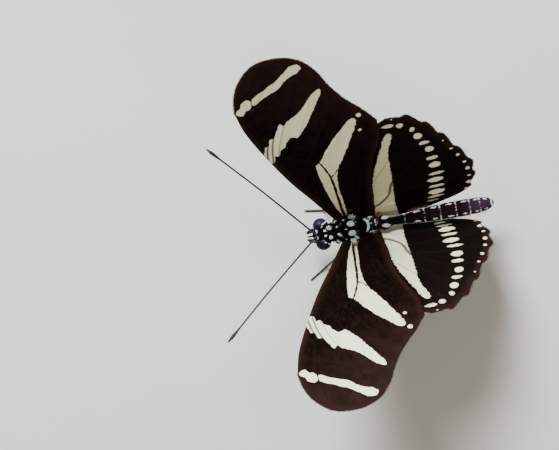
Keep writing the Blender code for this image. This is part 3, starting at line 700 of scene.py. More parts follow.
def wing_margin(wing):
    """The outer margin, with a small tooth at each vein end where the wing has teeth."""
    ends = np.array(list(wing["ends"].values()))
    if not wing["teeth"]:
        return smooth_path(ends, 12)
    centre = np.array(wing["centre"])
    margin = [ends[0]]
    for first, second in zip(ends, ends[1:]):
        notch = second + (first - second) * NOTCH_PLACE
        notch = notch + (centre - notch) / np.linalg.norm(centre - notch) * wing["teeth"]
        middle = (first + notch) / 2.0
        middle = middle - (centre - middle) / np.linalg.norm(centre - middle) * LOBE_SWELL
        margin += [middle, notch, second]
    return rounded(np.array(margin), 2)


def wing_outline(wing):
    """The closed outline, from the front of the root round the tip and back, and its margin."""
    ends = list(wing["ends"].values())
    root = wing["root"]
    leading = smooth_path([root[-1], *wing["leading_edge"], ends[0]], 10)
    margin = wing_margin(wing)
    inner = smooth_path([ends[-1], *wing["inner_edge"], root[0]], 10)
    base = smooth_path(root, 4)
    whole = np.vstack([leading[:-1], margin[:-1], inner[:-1], base])
    return resample(whole, PLAN_PITCH)[:-1], resample(margin, PLAN_PITCH)


def vein_lines(wing):
    """Each main vein as an evenly spaced line, stopping just short of the margin."""
    lines = {}
    for name, points in wing["veins"].items():
        places = [wing["ends"][point] if isinstance(point, str) else point for point in points]
        line = resample(smooth_path(places, 8), VEIN_PITCH)
        lines[name] = line[:-1] if isinstance(points[-1], str) else line
    return lines


def vein_width(places, wing):
    """Half the width of a vein's ridge at each place, and how far out on the wing it is, 0 to 1."""
    share = np.clip(np.linalg.norm(places, axis=1) / wing["reach"], 0.0, 1.0)
    return VEIN_WIDTH_BASE + (VEIN_WIDTH_END - VEIN_WIDTH_BASE) * share, share


def plan_of(wing):
    """The wing's plan: places and triangles that follow the outline and the veins."""
    outline, _ = wing_outline(wing)
    lines = vein_lines(wing)
    beside = []
    for line in lines.values():
        runs = np.gradient(line, axis=0)
        runs /= np.linalg.norm(runs, axis=1)[:, None]
        across = np.stack([-runs[:, 1], runs[:, 0]], 1)
        width, _ = vein_width(line, wing)
        for share in (-1.0, -0.5, 0.0, 0.5, 1.0):
            beside.append(line + across * (width * share)[:, None])
    drawn = [resample(smooth_path(points, 8), LINE_PITCH) for _, points in wing["lines"]]
    beside = np.vstack(beside + drawn)
    low, high = outline.min(0), outline.max(0)
    columns = np.arange(low[0], high[0], PLAN_PITCH)
    rows = np.arange(low[1], high[1], PLAN_PITCH * ROW_SHARE)
    grid = np.array([(column + (index % 2) * PLAN_PITCH / 2.0, row)
                     for index, row in enumerate(rows) for column in columns])
    far = np.ones(len(grid), bool)
    for line in lines.values():
        away, _ = distance_to_line(grid, line)
        width, _ = vein_width(grid, wing)
        far &= away > width + VEIN_CLEARANCE
    for line in drawn:
        away, _ = distance_to_line(grid, line)
        far &= away > LINE_CLEARANCE
    grid = grid[far]
    inner = np.vstack([beside, grid])
    inner = inner[inside(inner, outline)]
    away, _ = distance_to_line(inner, np.vstack([outline, outline[:1]]))
    inner = inner[away > PLAN_PITCH * 0.5]
    places = [Vector(place) for place in np.vstack([outline, inner])]
    edges = [(index, (index + 1) % len(outline)) for index in range(len(outline))]
    result = delaunay_2d_cdt(places, edges, [], 1, JOIN_DISTANCE)
    return np.array(result[0]), np.array(result[2]), outline, lines


def wing_values(places, wing, outline, lines):
    """The values that the wing's material and relief read at each place."""
    vein_away = np.full(len(places), FAR_AWAY)
    for line in lines.values():
        away, _ = distance_to_line(places, line)
        vein_away = np.minimum(vein_away, away)
    edge, _ = distance_to_line(places, np.vstack([outline, outline[:1]]))
    in_area = np.full(len(places), OUTSIDE)
    for area in wing["areas"].values():
        in_area = np.maximum(in_area, depth_in_area(places, smooth_path(area, 4, closed=True)))
    in_spot = np.full(len(places), OUTSIDE)
    for spot in wing["spots"]:
        in_spot = np.maximum(in_spot, depth_in_spot(places, spot))
    cream = np.maximum(in_area, in_spot)
    raggedness = wing["raggedness"] * np.where(in_spot > in_area, SPOT_RAGGEDNESS, 1.0)
    stem = np.full(len(places), OUTSIDE)
    for name, width_start, width_end in wing["stems"]:
        away, along = distance_to_line(places, lines[name])
        stem = np.maximum(stem, width_start + (width_end - width_start) * along - away)
    cream = np.minimum(cream, -stem)
    line_away = np.full(len(places), LINE_LIMIT)
    for strength, points in wing["lines"]:
        away, _ = distance_to_line(places, smooth_path(points, 8))
        line_away = np.minimum(line_away, away / LINE_HALF_WIDTH + 1.0 - strength)
    tip = ease(wing["tip tint"][0], wing["tip tint"][1], places[:, 0] + 0.6 * places[:, 1])
    reach = np.hypot(places[:, 0] + GRAIN_START, places[:, 1])
    turn = np.arctan2(places[:, 1], places[:, 0] + GRAIN_START)
    grain = np.stack([reach * GRAIN_LENGTHWAYS, turn * GRAIN_TURN, raggedness], 1)
    shade = profile(wing["shade"], places[:, 0]) * (1.0 - 0.6 * ease(8.5, 12.0, places[:, 1]))
    return {"cream": cream, "vein": vein_away, "edge": edge, "stem": stem, "line": line_away,
            "tip": tip, "shade": shade, "grain": grain}


def red_values(places, spots):
    """How deep each place lies in the red spots."""
    red = np.full(len(places), OUTSIDE)
    for spot in spots:
        red = np.maximum(red, depth_in_spot(places, spot))
    return red


def add_wing(name, wing, side, plan, values, materials):
    """One wing as a closed membrane with its ridges and pleats, upper and under face apart."""
    places, triangles, _, _ = plan
    width, share = vein_width(places, wing)
    crest = VEIN_HEIGHT_BASE + (VEIN_HEIGHT_END - VEIN_HEIGHT_BASE) * share
    ridge = crest * np.cos(np.clip(values["vein"] / width, 0.0, 1.0) * math.pi / 2.0) ** 2
    pleat = -PLEAT_DEPTH * (1.0 - np.exp(-(values["vein"] / PLEAT_REACH) ** 2))
    taper = ease(0.0, EDGE_TAPER, values["edge"])
    half = (MEMBRANE_EDGE + (MEMBRANE_MIDDLE - MEMBRANE_EDGE) * taper) / 2.0
    ridge = ridge * taper
    top = wing_points(places, wing["lift"] + pleat + half + ridge, side)
    bottom = wing_points(places, wing["lift"] + pleat - half - ridge, side)
    count = len(places)
    uses = {}
    for triangle in triangles.tolist():
        for first, second in zip(triangle, triangle[1:] + triangle[:1]):
            uses.setdefault(frozenset((first, second)), []).append((first, second))
    rim = []
    for directions in uses.values():
        if len(directions) == 1:
            first, second = directions[0]
            rim.append((second, first, first + count, second + count))
    faces = triangles.tolist() + (triangles[:, ::-1] + count).tolist() + rim
    doubled = {key: np.concatenate([entry, entry]) for key, entry in values.items()}
    doubled["red"] = np.concatenate([red_values(places, wing["red"][side]),
                                     red_values(places, wing["red under"])])
    flat = np.stack([places[:, 0], places[:, 1], np.zeros(count)], 1)
    doubled["plan"] = np.vstack([flat, flat])
    piece = add_piece(name + "_scaled", np.vstack([top, bottom]), faces, materials,
                      [name], doubled)
    under = np.zeros(len(piece.data.polygons), np.int32)
    under[len(triangles):] = 1
    piece.data.polygons.foreach_set("material_index", under)


# Body

# The height of the body's middle line, and sections of (rearward, half width, lowest, highest);
# the abdomen's are round and give (rearward, radius)
AXIS_HEIGHTS = [(-7.0, 7.35), (-3.2, 7.4), (0.0, 7.3), (4.3, 7.2), (6.3, 7.25), (9.0, 7.5),
                (14.0, 7.95), (18.0, 8.2), (21.8, 8.35)]
THORAX_SECTIONS = [
    (-3.3, 0.5, 6.8, 8.0), (-2.9, 0.95, 6.4, 8.45), (-2.4, 1.3, 6.0, 8.85),
    (-1.6, 1.62, 5.6, 9.15), (-0.6, 1.8, 5.3, 9.32), (0.6, 1.8, 5.25, 9.25),
    (1.6, 1.7, 5.4, 9.0), (2.3, 1.5, 5.6, 8.6), (2.9, 1.38, 5.8, 8.52),
    (3.5, 1.2, 6.05, 8.3), (4.1, 0.9, 6.25, 8.05), (4.6, 0.7, 6.4, 7.9),
]
ABDOMEN_SECTIONS = [
    (3.9, 0.7), (4.3, 0.94), (5.2, 0.96), (6.1, 0.66), (7.4, 0.71), (9.3, 0.91), (11.9, 1.15),
    (14.5, 1.23), (17.2, 1.25), (19.6, 1.14), (20.7, 0.84), (21.3, 0.45), (21.5, 0.15),
]
HEAD_SECTIONS = [
    (-5.95, 0.25, 7.0, 7.7), (-5.8, 0.55, 6.7, 8.05), (-5.4, 0.78, 6.35, 8.38),
    (-4.7, 0.86, 6.15, 8.56), (-4.0, 0.95, 6.3, 8.48), (-3.5, 0.95, 6.5, 8.3),
    (-3.0, 0.85, 6.6, 8.15),
]
SEGMENT_ENDS = [6.3, 8.15, 11.1, 13.5, 15.9, 17.95, 19.5]
SEGMENT_STEP = 0.07
SKIN_VOXEL = 0.06
LOFT_SIDES = 40

# Angles from the top round the body: the pale marks' limit, and the pale line along the abdomen
UPPER_ANGLE = 1.75
SIDE_LINE_ANGLE = 1.33

# Where the coat changes from fur to scales, along the body, and the depth of a place in no mark
FUR_END = (4.8, 6.0)
NO_MARK = -1.0

# Pale rings start behind this place; the last segment's end; the pale line's ends and half width;
# the white rim at the tail, with its half width
RINGS_START = 6.9
TAIL_END = 20.9
SIDE_LINE_ENDS = (5.8, 20.6)
SIDE_LINE_HALF_WIDTH = 0.085
TAIL_RIM = 21.22
TAIL_RIM_HALF_WIDTH = 0.1

# Half width of the pale spots between two rings, their angle, and their share of a segment
SEGMENT_SPOT_HALF_WIDTH = 0.13
SEGMENT_SPOT_ANGLE = 0.8
SEGMENT_SPOT_SHARE = 0.17

# Marks and grooves of the top lie above this height: the groove along the middle of the back
# and the seam behind it
TOP_HEIGHT = 8.0
GROOVE_HALF_WIDTH = 0.07
GROOVE_DEPTH = 0.07
SEAM_DEPTH = 0.1

# Swellings that the skin takes in: centre and radii, given for the left side
SIDE_LOBES = [
    ((1.7, 0.0, 8.75), (0.5, 0.8, 0.34)),
    ((0.72, -2.45, 8.5), (0.6, 0.34, 0.36)),
    ((0.95, -1.9, 5.75), (0.42, 0.5, 0.85)),
    ((0.95, -0.5, 5.4), (0.45, 0.55, 0.8)),
    ((0.95, 1.9, 5.45), (0.45, 0.6, 0.8)),
    ((0.42, -5.5, 8.1), (0.2, 0.2, 0.24)),
    ((1.0, -4.55, 7.3), (0.42, 0.86, 1.0)),
    ((0.84, -4.15, 8.12), (0.34, 0.95, 0.4)),
    ((1.1, -3.72, 7.5), (0.45, 0.45, 0.85)),
    ((1.25, -2.3, 7.9), (0.5, 0.45, 0.6)),
    ((0.98, -3.08, 7.45), (0.42, 0.42, 0.62)),
]
MIDDLE_LOBES = [
    ((0.0, 2.35, 8.7), (0.85, 0.55, 0.36)),
    ((0.0, 3.5, 8.15), (0.9, 0.4, 0.3)),
    ((0.0, -5.3, 7.45), (0.62, 0.68, 0.85)),
    ((0.0, -3.3, 7.4), (0.62, 0.7, 0.66)),
    ((0.0, -5.4, 6.4), (0.5, 0.45, 0.35)),
]

# Pale marks of the upper side: outward, rearward, half width across, half length along,
# turn in degrees and whiteness. The first list is the same left and right.
BOTH_MARKS = [
    (0.62, -5.3, 0.46, 0.15, 12.0, 1.0),
    (0.4, -4.07, 0.17, 0.19, 0.0, 1.0),
    (1.02, -4.45, 0.12, 0.11, 0.0, 1.0),
    (1.63, -2.23, 0.17, 0.48, -45.0, 0.0),
    (1.5, -1.05, 0.11, 0.2, -20.0, 0.8),
    (0.0, -0.98, 0.08, 0.1, 0.0, 0.9),
    (0.71, -0.09, 0.4, 0.56, 10.0, 0.0),
    (1.25, 0.4, 0.07, 0.5, -26.0, 0.2),
    (1.6, 0.55, 0.07, 0.42, -26.0, 0.2),
]
SIDE_MARKS = {
    LEFT: [
        (0.75, -3.3, 0.28, 0.33, 20.0, 0.9), (0.62, -1.98, 0.17, 0.36, -43.0, 0.6),
        (0.95, 2.95, 0.1, 0.55, 8.0, 0.9), (1.25, 3.2, 0.08, 0.4, 15.0, 0.9),
        (0.12, 3.58, 0.25, 0.09, 0.0, 1.0), (0.5, 5.2, 0.27, 0.66, -8.0, 0.6),
    ],
    RIGHT: [
        (0.7, -3.38, 0.33, 0.38, 20.0, 1.0), (0.66, -2.13, 0.11, 0.26, -37.0, 0.6),
        (1.22, 2.98, 0.11, 0.6, -12.0, 0.9), (0.85, 2.75, 0.06, 0.3, -30.0, 0.9),
        (0.24, 2.9, 0.13, 0.14, 0.0, 1.0), (0.38, 3.58, 0.4, 0.09, 0.0, 1.0),
        (0.77, 5.27, 0.29, 0.66, -6.0, 0.6),
    ],
}

# The pale crescent across the back of the thorax, as (x, y), and a red spot on the left
CRESCENT = [(-1.17, 1.85), (-0.68, 2.33), (-0.11, 2.5), (0.47, 2.36), (0.95, 2.0)]
CRESCENT_HALF_WIDTH = 0.2
RED_MARK = (0.86, 4.2, 0.16, 0.25)


def body_values(points):
    """Marks and tones at places on the body, the same for the skin and the coat over it."""
    x, y, z = points.T
    across = np.abs(x)
    around = np.arctan2(across, z - profile(AXIS_HEIGHTS, y))
    upper = around < UPPER_ANGLE
    mark = np.full(len(points), NO_MARK)
    whiteness = ease(5.6, 6.2, y)
    for side, marks in SIDE_MARKS.items():
        here = upper & (x * side > 0.0)
        for outward, rearward, half_width, half_length, turn, white in BOTH_MARKS + marks:
            turn = math.radians(turn)
            aside = (across - outward) * math.cos(turn) + (y - rearward) * math.sin(turn)
            ahead = (y - rearward) * math.cos(turn) - (across - outward) * math.sin(turn)
            reach = np.hypot(aside / half_width, ahead / half_length)
            depth = np.where(here, (1.0 - reach) * min(half_width, half_length), NO_MARK)
            whiteness = np.where(depth > np.maximum(mark, -0.1), white, whiteness)
            mark = np.maximum(mark, depth)
    away, along = distance_to_line(points[:, :2], smooth_path(CRESCENT, 6))
    mark = np.maximum(mark, np.where(upper, CRESCENT_HALF_WIDTH * swelling(along) - away, NO_MARK))
    behind = y > RINGS_START
    for ring in SEGMENT_ENDS[1:]:
        half_width = 0.01 + 0.075 * ease(0.35, 1.0, around) * (1.0 - ease(1.5, 2.0, around))
        half_width *= 0.6 + 0.4 * ease(8.0, 13.0, ring)
        mark = np.maximum(mark, np.where(behind, half_width - np.abs(y - ring + 0.05), NO_MARK))
    for start, end in zip(SEGMENT_ENDS[1:], SEGMENT_ENDS[2:] + [TAIL_END]):
        middle = start + (end - start) * 0.6
        reach = np.hypot((around - SEGMENT_SPOT_ANGLE) / SEGMENT_SPOT_HALF_WIDTH,
                         (y - middle) / (SEGMENT_SPOT_SHARE * (end - start)))
        depth = (1.0 - reach) * SEGMENT_SPOT_HALF_WIDTH
        mark = np.maximum(mark, np.where(behind, depth, NO_MARK))
    side_line = SIDE_LINE_HALF_WIDTH - np.abs(around - SIDE_LINE_ANGLE) * 0.9
    beside = (y > SIDE_LINE_ENDS[0]) & (y < SIDE_LINE_ENDS[1])
    mark = np.maximum(mark, np.where(beside, side_line, NO_MARK))
    tail_rim = TAIL_RIM_HALF_WIDTH - np.abs(y - TAIL_RIM)
    mark = np.maximum(mark, np.where(z > TOP_HEIGHT, tail_rim, NO_MARK))
    in_red = depth_in_spot(np.stack([across, y], 1), RED_MARK)
    red = np.where(upper & (x > 0.0), in_red, NO_MARK)
    plum = ease(7.0, 12.5, y) + ease(15.5, 20.5, y)
    plum += 0.25 * ease(2.0, 2.6, y) * (1.0 - ease(3.6, 4.2, y))
    return {"mark": mark, "whiteness": whiteness, "red": red, "plum": plum}


def loft(rows):
    """A closed body through sections of (rearward, half width, lowest, highest)."""
    rows = smooth_path(rows, 4)
    turns = np.arange(LOFT_SIDES) * math.tau / LOFT_SIDES
    rings = [np.stack([half_width * np.cos(turns), np.full(LOFT_SIDES, rearward),
                       (lowest + highest) / 2.0 + (highest - lowest) / 2.0 * np.sin(turns)], 1)
             for rearward, half_width, lowest, highest in rows]
    return close_rings(rings)


def body_skin():
    """One closed skin over head, thorax and abdomen, as points and square faces."""
    places = np.array([row[0] for row in ABDOMEN_SECTIONS])
    radii = np.array([row[1] for row in ABDOMEN_SECTIONS])
    middles = profile(AXIS_HEIGHTS, places)
    abdomen = np.stack([places, radii, middles - radii * 1.05, middles + radii * 1.05], 1)
    parts = [loft(THORAX_SECTIONS), loft(abdomen), loft(HEAD_SECTIONS)]
    for centre, radii in SIDE_LOBES:
        for side in SIDES.values():
            parts.append(ellipsoid((side * centre[0], centre[1], centre[2]), radii))
    for centre, radii in MIDDLE_LOBES:
        parts.append(ellipsoid(centre, radii))
    points, faces = join_parts(parts)
    mesh = bpy.data.meshes.new("body core")
    mesh.from_pydata(points.tolist(), [], faces)
    core = bpy.data.objects.new("body core", mesh)
    bpy.context.scene.collection.objects.link(core)
    remesh = core.modifiers.new("join", "REMESH")
    remesh.mode = "VOXEL"
    remesh.voxel_size = SKIN_VOXEL
    soften = core.modifiers.new("soften", "SMOOTH")
    soften.factor = 0.5
    soften.iterations = 6
    shape = core.evaluated_get(bpy.context.evaluated_depsgraph_get()).to_mesh()
    points = np.zeros(len(shape.vertices) * 3)
    shape.vertices.foreach_get("co", points)
    corners = np.zeros(len(shape.loops), np.int32)
    shape.loops.foreach_get("vertex_index", corners)
    bpy.data.objects.remove(core, do_unlink=True)
    return points.reshape(-1, 3), corners.reshape(-1, 4)


def shape_segments(points):
    """Draw the abdomen in behind each segment's end, and groove the back of the thorax."""
    x, y, z = points.T
    inward = np.stack([-x, np.zeros(len(x)), profile(AXIS_HEIGHTS, y) - z], 1)
    reach = np.maximum(np.linalg.norm(inward, axis=1), 1.0e-6)
    depth = np.zeros(len(x))
    for end in SEGMENT_ENDS:
        behind = y - end
        depth += np.where(behind > 0.0, np.exp(-behind / 0.35), np.exp(behind / 0.05)) * SEGMENT_STEP
    depth *= ease(5.4, 6.0, y)
    groove = np.exp(-(x / GROOVE_HALF_WIDTH) ** 2) * ease(-1.9, -1.2, y) * (1.0 - ease(1.4, 1.9, y))
    depth += np.where(z > TOP_HEIGHT, GROOVE_DEPTH * groove, 0.0)
    behind = y - 1.75 - 0.25 * np.abs(x)
    seam = np.exp(-(behind / GROOVE_HALF_WIDTH) ** 2) * (np.abs(x) < 1.4)
    depth += np.where(z > TOP_HEIGHT, SEAM_DEPTH * seam, 0.0)
    return points + inward / reach[:, None] * depth[:, None]


def scatter(points, faces, density, rng):
    """Random roots on a mesh of square faces, with their normals, by a density for each mm2."""
    a, b, c, d = (points[faces[:, corner]] for corner in range(4))
    normal = np.cross(c - a, d - b)
    area = np.linalg.norm(normal, axis=1) / 2.0
    normal /= np.maximum(2.0 * area, 1.0e-9)[:, None]
    middle = (a + b + c + d) / 4.0
    count = rng.poisson(area * density(middle))
    chosen = np.repeat(np.arange(len(faces)), count)
    u = rng.random((len(chosen), 1))
    v = rng.random((len(chosen), 1))
    roots = ((1.0 - u) * ((1.0 - v) * a[chosen] + v * d[chosen])
             + u * ((1.0 - v) * b[chosen] + v * c[chosen]))
    return roots, normal[chosen]


def unit(vectors):
    """The vectors at length 1."""
    return vectors / np.maximum(np.linalg.norm(vectors, axis=1), 1.0e-9)[:, None]


def lying(vectors, normals):
    """The vectors laid flat on the surface with these normals."""
    return unit(vectors - normals * np.sum(vectors * normals, axis=1)[:, None])


TUFT_FACES = [(0, 2, 1), (0, 1, 4, 3), (1, 2, 5, 4), (2, 0, 3, 5), (3, 4, 6), (4, 5, 6), (5, 3, 6)]
TUFT_CORNERS = 7

# The two rings of a tuft's blade: place along it and share of its width; its thickness over its
# width; and where its corners lie along and across it
TUFT_RINGS = [(-0.08, 0.7), (0.5, 1.0)]
TUFT_THICKNESS = 0.35
TUFT_ALONG = [0.0, 0.0, 0.0, 0.5, 0.5, 0.5, 1.0]
TUFT_ASIDE = [-0.5, 0.5, 0.0, -0.5, 0.5, 0.0, 0.0]

# The bake map: a tuft's patch, the free rim, and the body's front end and length
BAKE_PATCH = 0.003
BAKE_RIM = 0.01
BODY_FRONT = -7.0
BODY_SPAN = 29.0


def add_tufts(name, roots, normals, lie, lengths, widths, lift, droop, unwrap, values, surface):
    """A coat piece: one thin bent blade a root, each with its own patch on the skin's unwrap."""
    count = len(roots)
    tangent = lying(lie, normals)
    across = np.cross(normals, tangent)
    lengths = np.broadcast_to(lengths, count)[:, None]
    widths = np.broadcast_to(widths, count)[:, None]
    lift = np.broadcast_to(lift, count)[:, None]
    droop = np.broadcast_to(droop, count)[:, None]
    start = tangent * np.cos(lift) + normals * np.sin(lift)
    blades = np.zeros((count, TUFT_CORNERS, 3))
    for ring, (share, narrow) in enumerate(TUFT_RINGS):
        middle = roots + start * lengths * share - normals * lengths * droop * max(share, 0.0) ** 2
        blades[:, ring * 3] = middle - across * widths * 0.5 * narrow
        blades[:, ring * 3 + 1] = middle + across * widths * 0.5 * narrow
        blades[:, ring * 3 + 2] = middle + normals * widths * TUFT_THICKNESS * narrow
    blades[:, 6] = roots + start * lengths - normals * lengths * droop
    first = np.arange(count)[:, None] * TUFT_CORNERS
    faces = []
    for face in TUFT_FACES:
        faces += (first + np.array(face)).tolist()
    doubled = {key: np.repeat(entry, TUFT_CORNERS) for key, entry in values.items()}
    along = np.tile(TUFT_ALONG, count)
    doubled["along"] = along
    piece = add_piece(name, blades.reshape(-1, 3), faces, [surface], (), doubled, True)
    aside = np.tile(TUFT_ASIDE, count)
    patch = np.repeat(unwrap, TUFT_CORNERS, axis=0) + BAKE_PATCH * np.stack([aside, along - 0.5], 1)
    corners = np.zeros(len(piece.data.loops), np.int32)
    piece.data.loops.foreach_get("vertex_index", corners)
    layer = piece.data.uv_layers.new(name="OFBake")
    layer.uv.foreach_set("vector", patch[corners].astype(np.float32).ravel())
    return piece


def body_unwrap(points):
    """Angle round the body and length along it, as places on the bake map."""
    x, y, z = points.T
    turn = np.arctan2(x, z - profile(AXIS_HEIGHTS, y)) / math.tau + 0.5
    along = (y - BODY_FRONT) / BODY_SPAN
    return BAKE_RIM + (1.0 - 2.0 * BAKE_RIM) * np.stack([turn, along], 1)


def in_eye(points):
    """Whether each place lies in an eye or close over it."""
    mirrored = np.abs(points) * (1.0, 0.0, 0.0) + points * (0.0, 1.0, 1.0)
    reach = (mirrored - np.array(EYE_CENTRE)) / (np.array(EYE_RADII) + EYE_CLEARANCE)
    return np.linalg.norm(reach, axis=1) < 1.0


def combed(roots, normals, pull, spread, rng):
    """Directions towards the tail, pulled outward and down, uneven by the spread, laid on the skin."""
    outward, down = pull
    count = len(roots)
    lie = np.stack([roots[:, 0] * outward, np.ones(count), np.full(count, -down)], 1)
    return lying(lie + rng.normal(0.0, spread, (count, 3)), normals)


# The fur: roots for each mm2 on the thorax and how many more on the head, its length and width on
# the thorax, and how it is combed outward and down
FUR_DENSITY = 75.0
HEAD_FUR_DENSITY = 60.0
FUR_LENGTH = 0.5
FUR_WIDTH = 0.075
FUR_PULL = (0.35, 0.25)

# The short scales over the pale marks and over the abdomen: roots for each mm2, how they are
# combed, the shortest length and the most that is added to it, how far along it a scale takes
# its colour from the skin, its lift in degrees and its droop
SCALE_WIDTH = 0.1
SCALE_COATS = {
    "body_mark_scales": {"slot": "body", "density": 260.0, "pull": FUR_PULL, "spread": 0.18,
                         "length": (0.18, 0.12), "colour": 0.6, "lift": 9.0, "droop": 0.05},
    "abdomen_scales": {"slot": "abdomen", "density": 110.0, "pull": (0.0, 0.0), "spread": 0.1,
                       "length": (0.19, 0.1), "colour": 0.7, "lift": 7.0, "droop": 0.06},
}


def fur_density(middle):
    """How many tufts of fur each mm2 has at some places on the skin."""
    y = middle[:, 1]
    return FUR_DENSITY * (1.0 - ease(*FUR_END, y)) + HEAD_FUR_DENSITY * (y < -3.2)


def mark_share(middle):
    """The share of the full density that the scales of the pale marks have at some places."""
    return (body_values(middle)["mark"] > -0.03) * (1.0 - ease(*FUR_END, middle[:, 1]))


def abdomen_share(middle):
    """The same for the scales of the abdomen."""
    return ease(*FUR_END, middle[:, 1])


def add_fur(points, faces, coat, rng):
    """Tufts of fur on head and thorax, none of them over a pale mark or an eye."""
    roots, normals = scatter(points, faces, fur_density, rng)
    count = len(roots)
    on_head = 1.0 - ease(-3.6, -3.0, roots[:, 1])
    lie = combed(roots, normals, FUR_PULL, 0.22, rng)
    lengths = (FUR_LENGTH - 0.26 * on_head) * (0.75 + 0.5 * rng.random(count))
    lengths *= 1.0 + 0.35 * ease(7.0, 5.6, roots[:, 2])
    widths = (FUR_WIDTH - 0.02 * on_head) * (0.8 + 0.4 * rng.random(count))
    lift = np.radians((16.0 + 10.0 * rng.random(count)) * (1.0 - 0.4 * on_head))
    clear = np.ones(count, bool)
    for share in (0.0, 0.35, 0.7, 1.0):
        place = roots + (lie + normals * 0.3) * (lengths * share)[:, None]
        clear &= (body_values(place)["mark"] < -0.01) & ~in_eye(place)
    values = {key: entry[clear] for key, entry in body_values(roots).items()}
    values["tone"] = rng.random(clear.sum())
    add_tufts("body_fur", roots[clear], normals[clear], lie[clear], lengths[clear], widths[clear],
              lift[clear], 0.16, body_unwrap(roots[clear]), values, coat)


def add_body(rng):
    """The body's skin with its fur and scales. Returns the coat's material."""
    points, faces = body_skin()
    points = shape_segments(points)
    add_piece("body_skin", points, faces, [body_material("body skin", False)],
              ["head", "thorax", "abdomen"], body_values(points))
    coat = body_material("body coat", True)
    add_fur(points, faces, coat, rng)
    for (name, look), share in zip(SCALE_COATS.items(), (mark_share, abdomen_share)):
        roots, normals = scatter(points, faces, lambda middle: look["density"] * share(middle), rng)
        clear = ~in_eye(roots)
        roots, normals = roots[clear], normals[clear]
        count = len(roots)
        lie = combed(roots, normals, look["pull"], look["spread"], rng)
        lengths = look["length"][0] + look["length"][1] * rng.random(count)
        values = body_values(roots + lie * lengths[:, None] * look["colour"])
        values["tone"] = rng.random(count)
        add_tufts(name, roots, normals, lie, lengths, SCALE_WIDTH, np.radians(look["lift"]),
                  look["droop"], body_unwrap(roots), values, coat)
    return coat


def plain_values(tone, mark, whiteness):
    """The values of hair and scales that lie outside the body's own marks."""
    count = len(tone)
    return {"tone": tone, "mark": np.full(count, mark), "whiteness": np.full(count, whiteness),
            "plum": np.zeros(count), "red": np.full(count, NO_MARK)}


# The line of white scales behind each eye, on the eye's own surface: outward, rearward
EYE_BAND = [(1.3, -4.42), (1.5, -4.05), (1.82, -3.62)]

# The part of that line which is bare, and how many scales there are before that
BAND_GAP = {LEFT: (0.22, 0.62), RIGHT: (0.3, 0.36)}
BAND_SCALES = 240


def add_eye_bands(coat, rng):
    """A thin line of white scales over the back of each eye."""
    path = resample(smooth_path(EYE_BAND, 8), 0.01)
    for word, side in SIDES.items():
        share = rng.random(BAND_SCALES)
        share = share[(share < BAND_GAP[side][0]) | (share > BAND_GAP[side][1])]
        count = len(share)
        places = path[(share * len(path)).astype(int)] + rng.normal(0.0, 0.022, (count, 2))
        reach = (places - np.array(EYE_CENTRE[:2])) / np.array(EYE_RADII[:2])
        high = np.sqrt(np.maximum(1.0 - np.sum(reach ** 2, axis=1), 0.0))
        normals = np.stack([side * reach[:, 0] / EYE_RADII[0], reach[:, 1] / EYE_RADII[1],
                            high / EYE_RADII[2]], 1)
        roots = np.stack([side * places[:, 0], places[:, 1],
                          EYE_CENTRE[2] + EYE_RADII[2] * high + 0.01], 1)
        lie = np.tile((side * 0.35, 1.0, 0.0), (count, 1)) + rng.normal(0.0, 0.2, (count, 3))
        values = plain_values(rng.random(count), 0.3, 1.0)
        add_tufts(f"eye_band_{word}", roots, unit(normals), lie, 0.1 + 0.05 * rng.random(count), 0.07,
                  np.radians(8.0), 0.05, body_unwrap(roots), values, coat)


# Hair at the forewings' bases: where its roots start and end outward and rearward, and its length;
# and the dark rim in front of it as (outward, rearward)
BASE_HAIR = {LEFT: ((1.5, 2.45), (-0.5, 0.1), 0.75), RIGHT: ((1.4, 1.95), (-0.35, 0.3), 0.5)}
BASE_RIMS = {LEFT: [(1.99, -0.5), (2.34, -0.22), (2.61, 0.1), (2.52, 0.42)],
             RIGHT: [(2.07, -0.4), (2.58, -0.13), (2.73, 0.19), (2.54, 0.52)]}
BASE_HAIR_COUNT = 260
BASE_RIM_RADIUS = 0.12


def base_height(out, side):
    """The height of the shoulder lobe or the forewing's upper face at a place out from the body."""
    lobe = 8.75 + 0.34 * np.sqrt(np.maximum(0.0, 1.0 - ((out - 1.7) / 0.5) ** 2))
    wing = HINGE_HEIGHT + (out - HINGE_OUT) * math.tan(WING_RAISE[side]) + 0.16
    return np.maximum(lobe, wing)


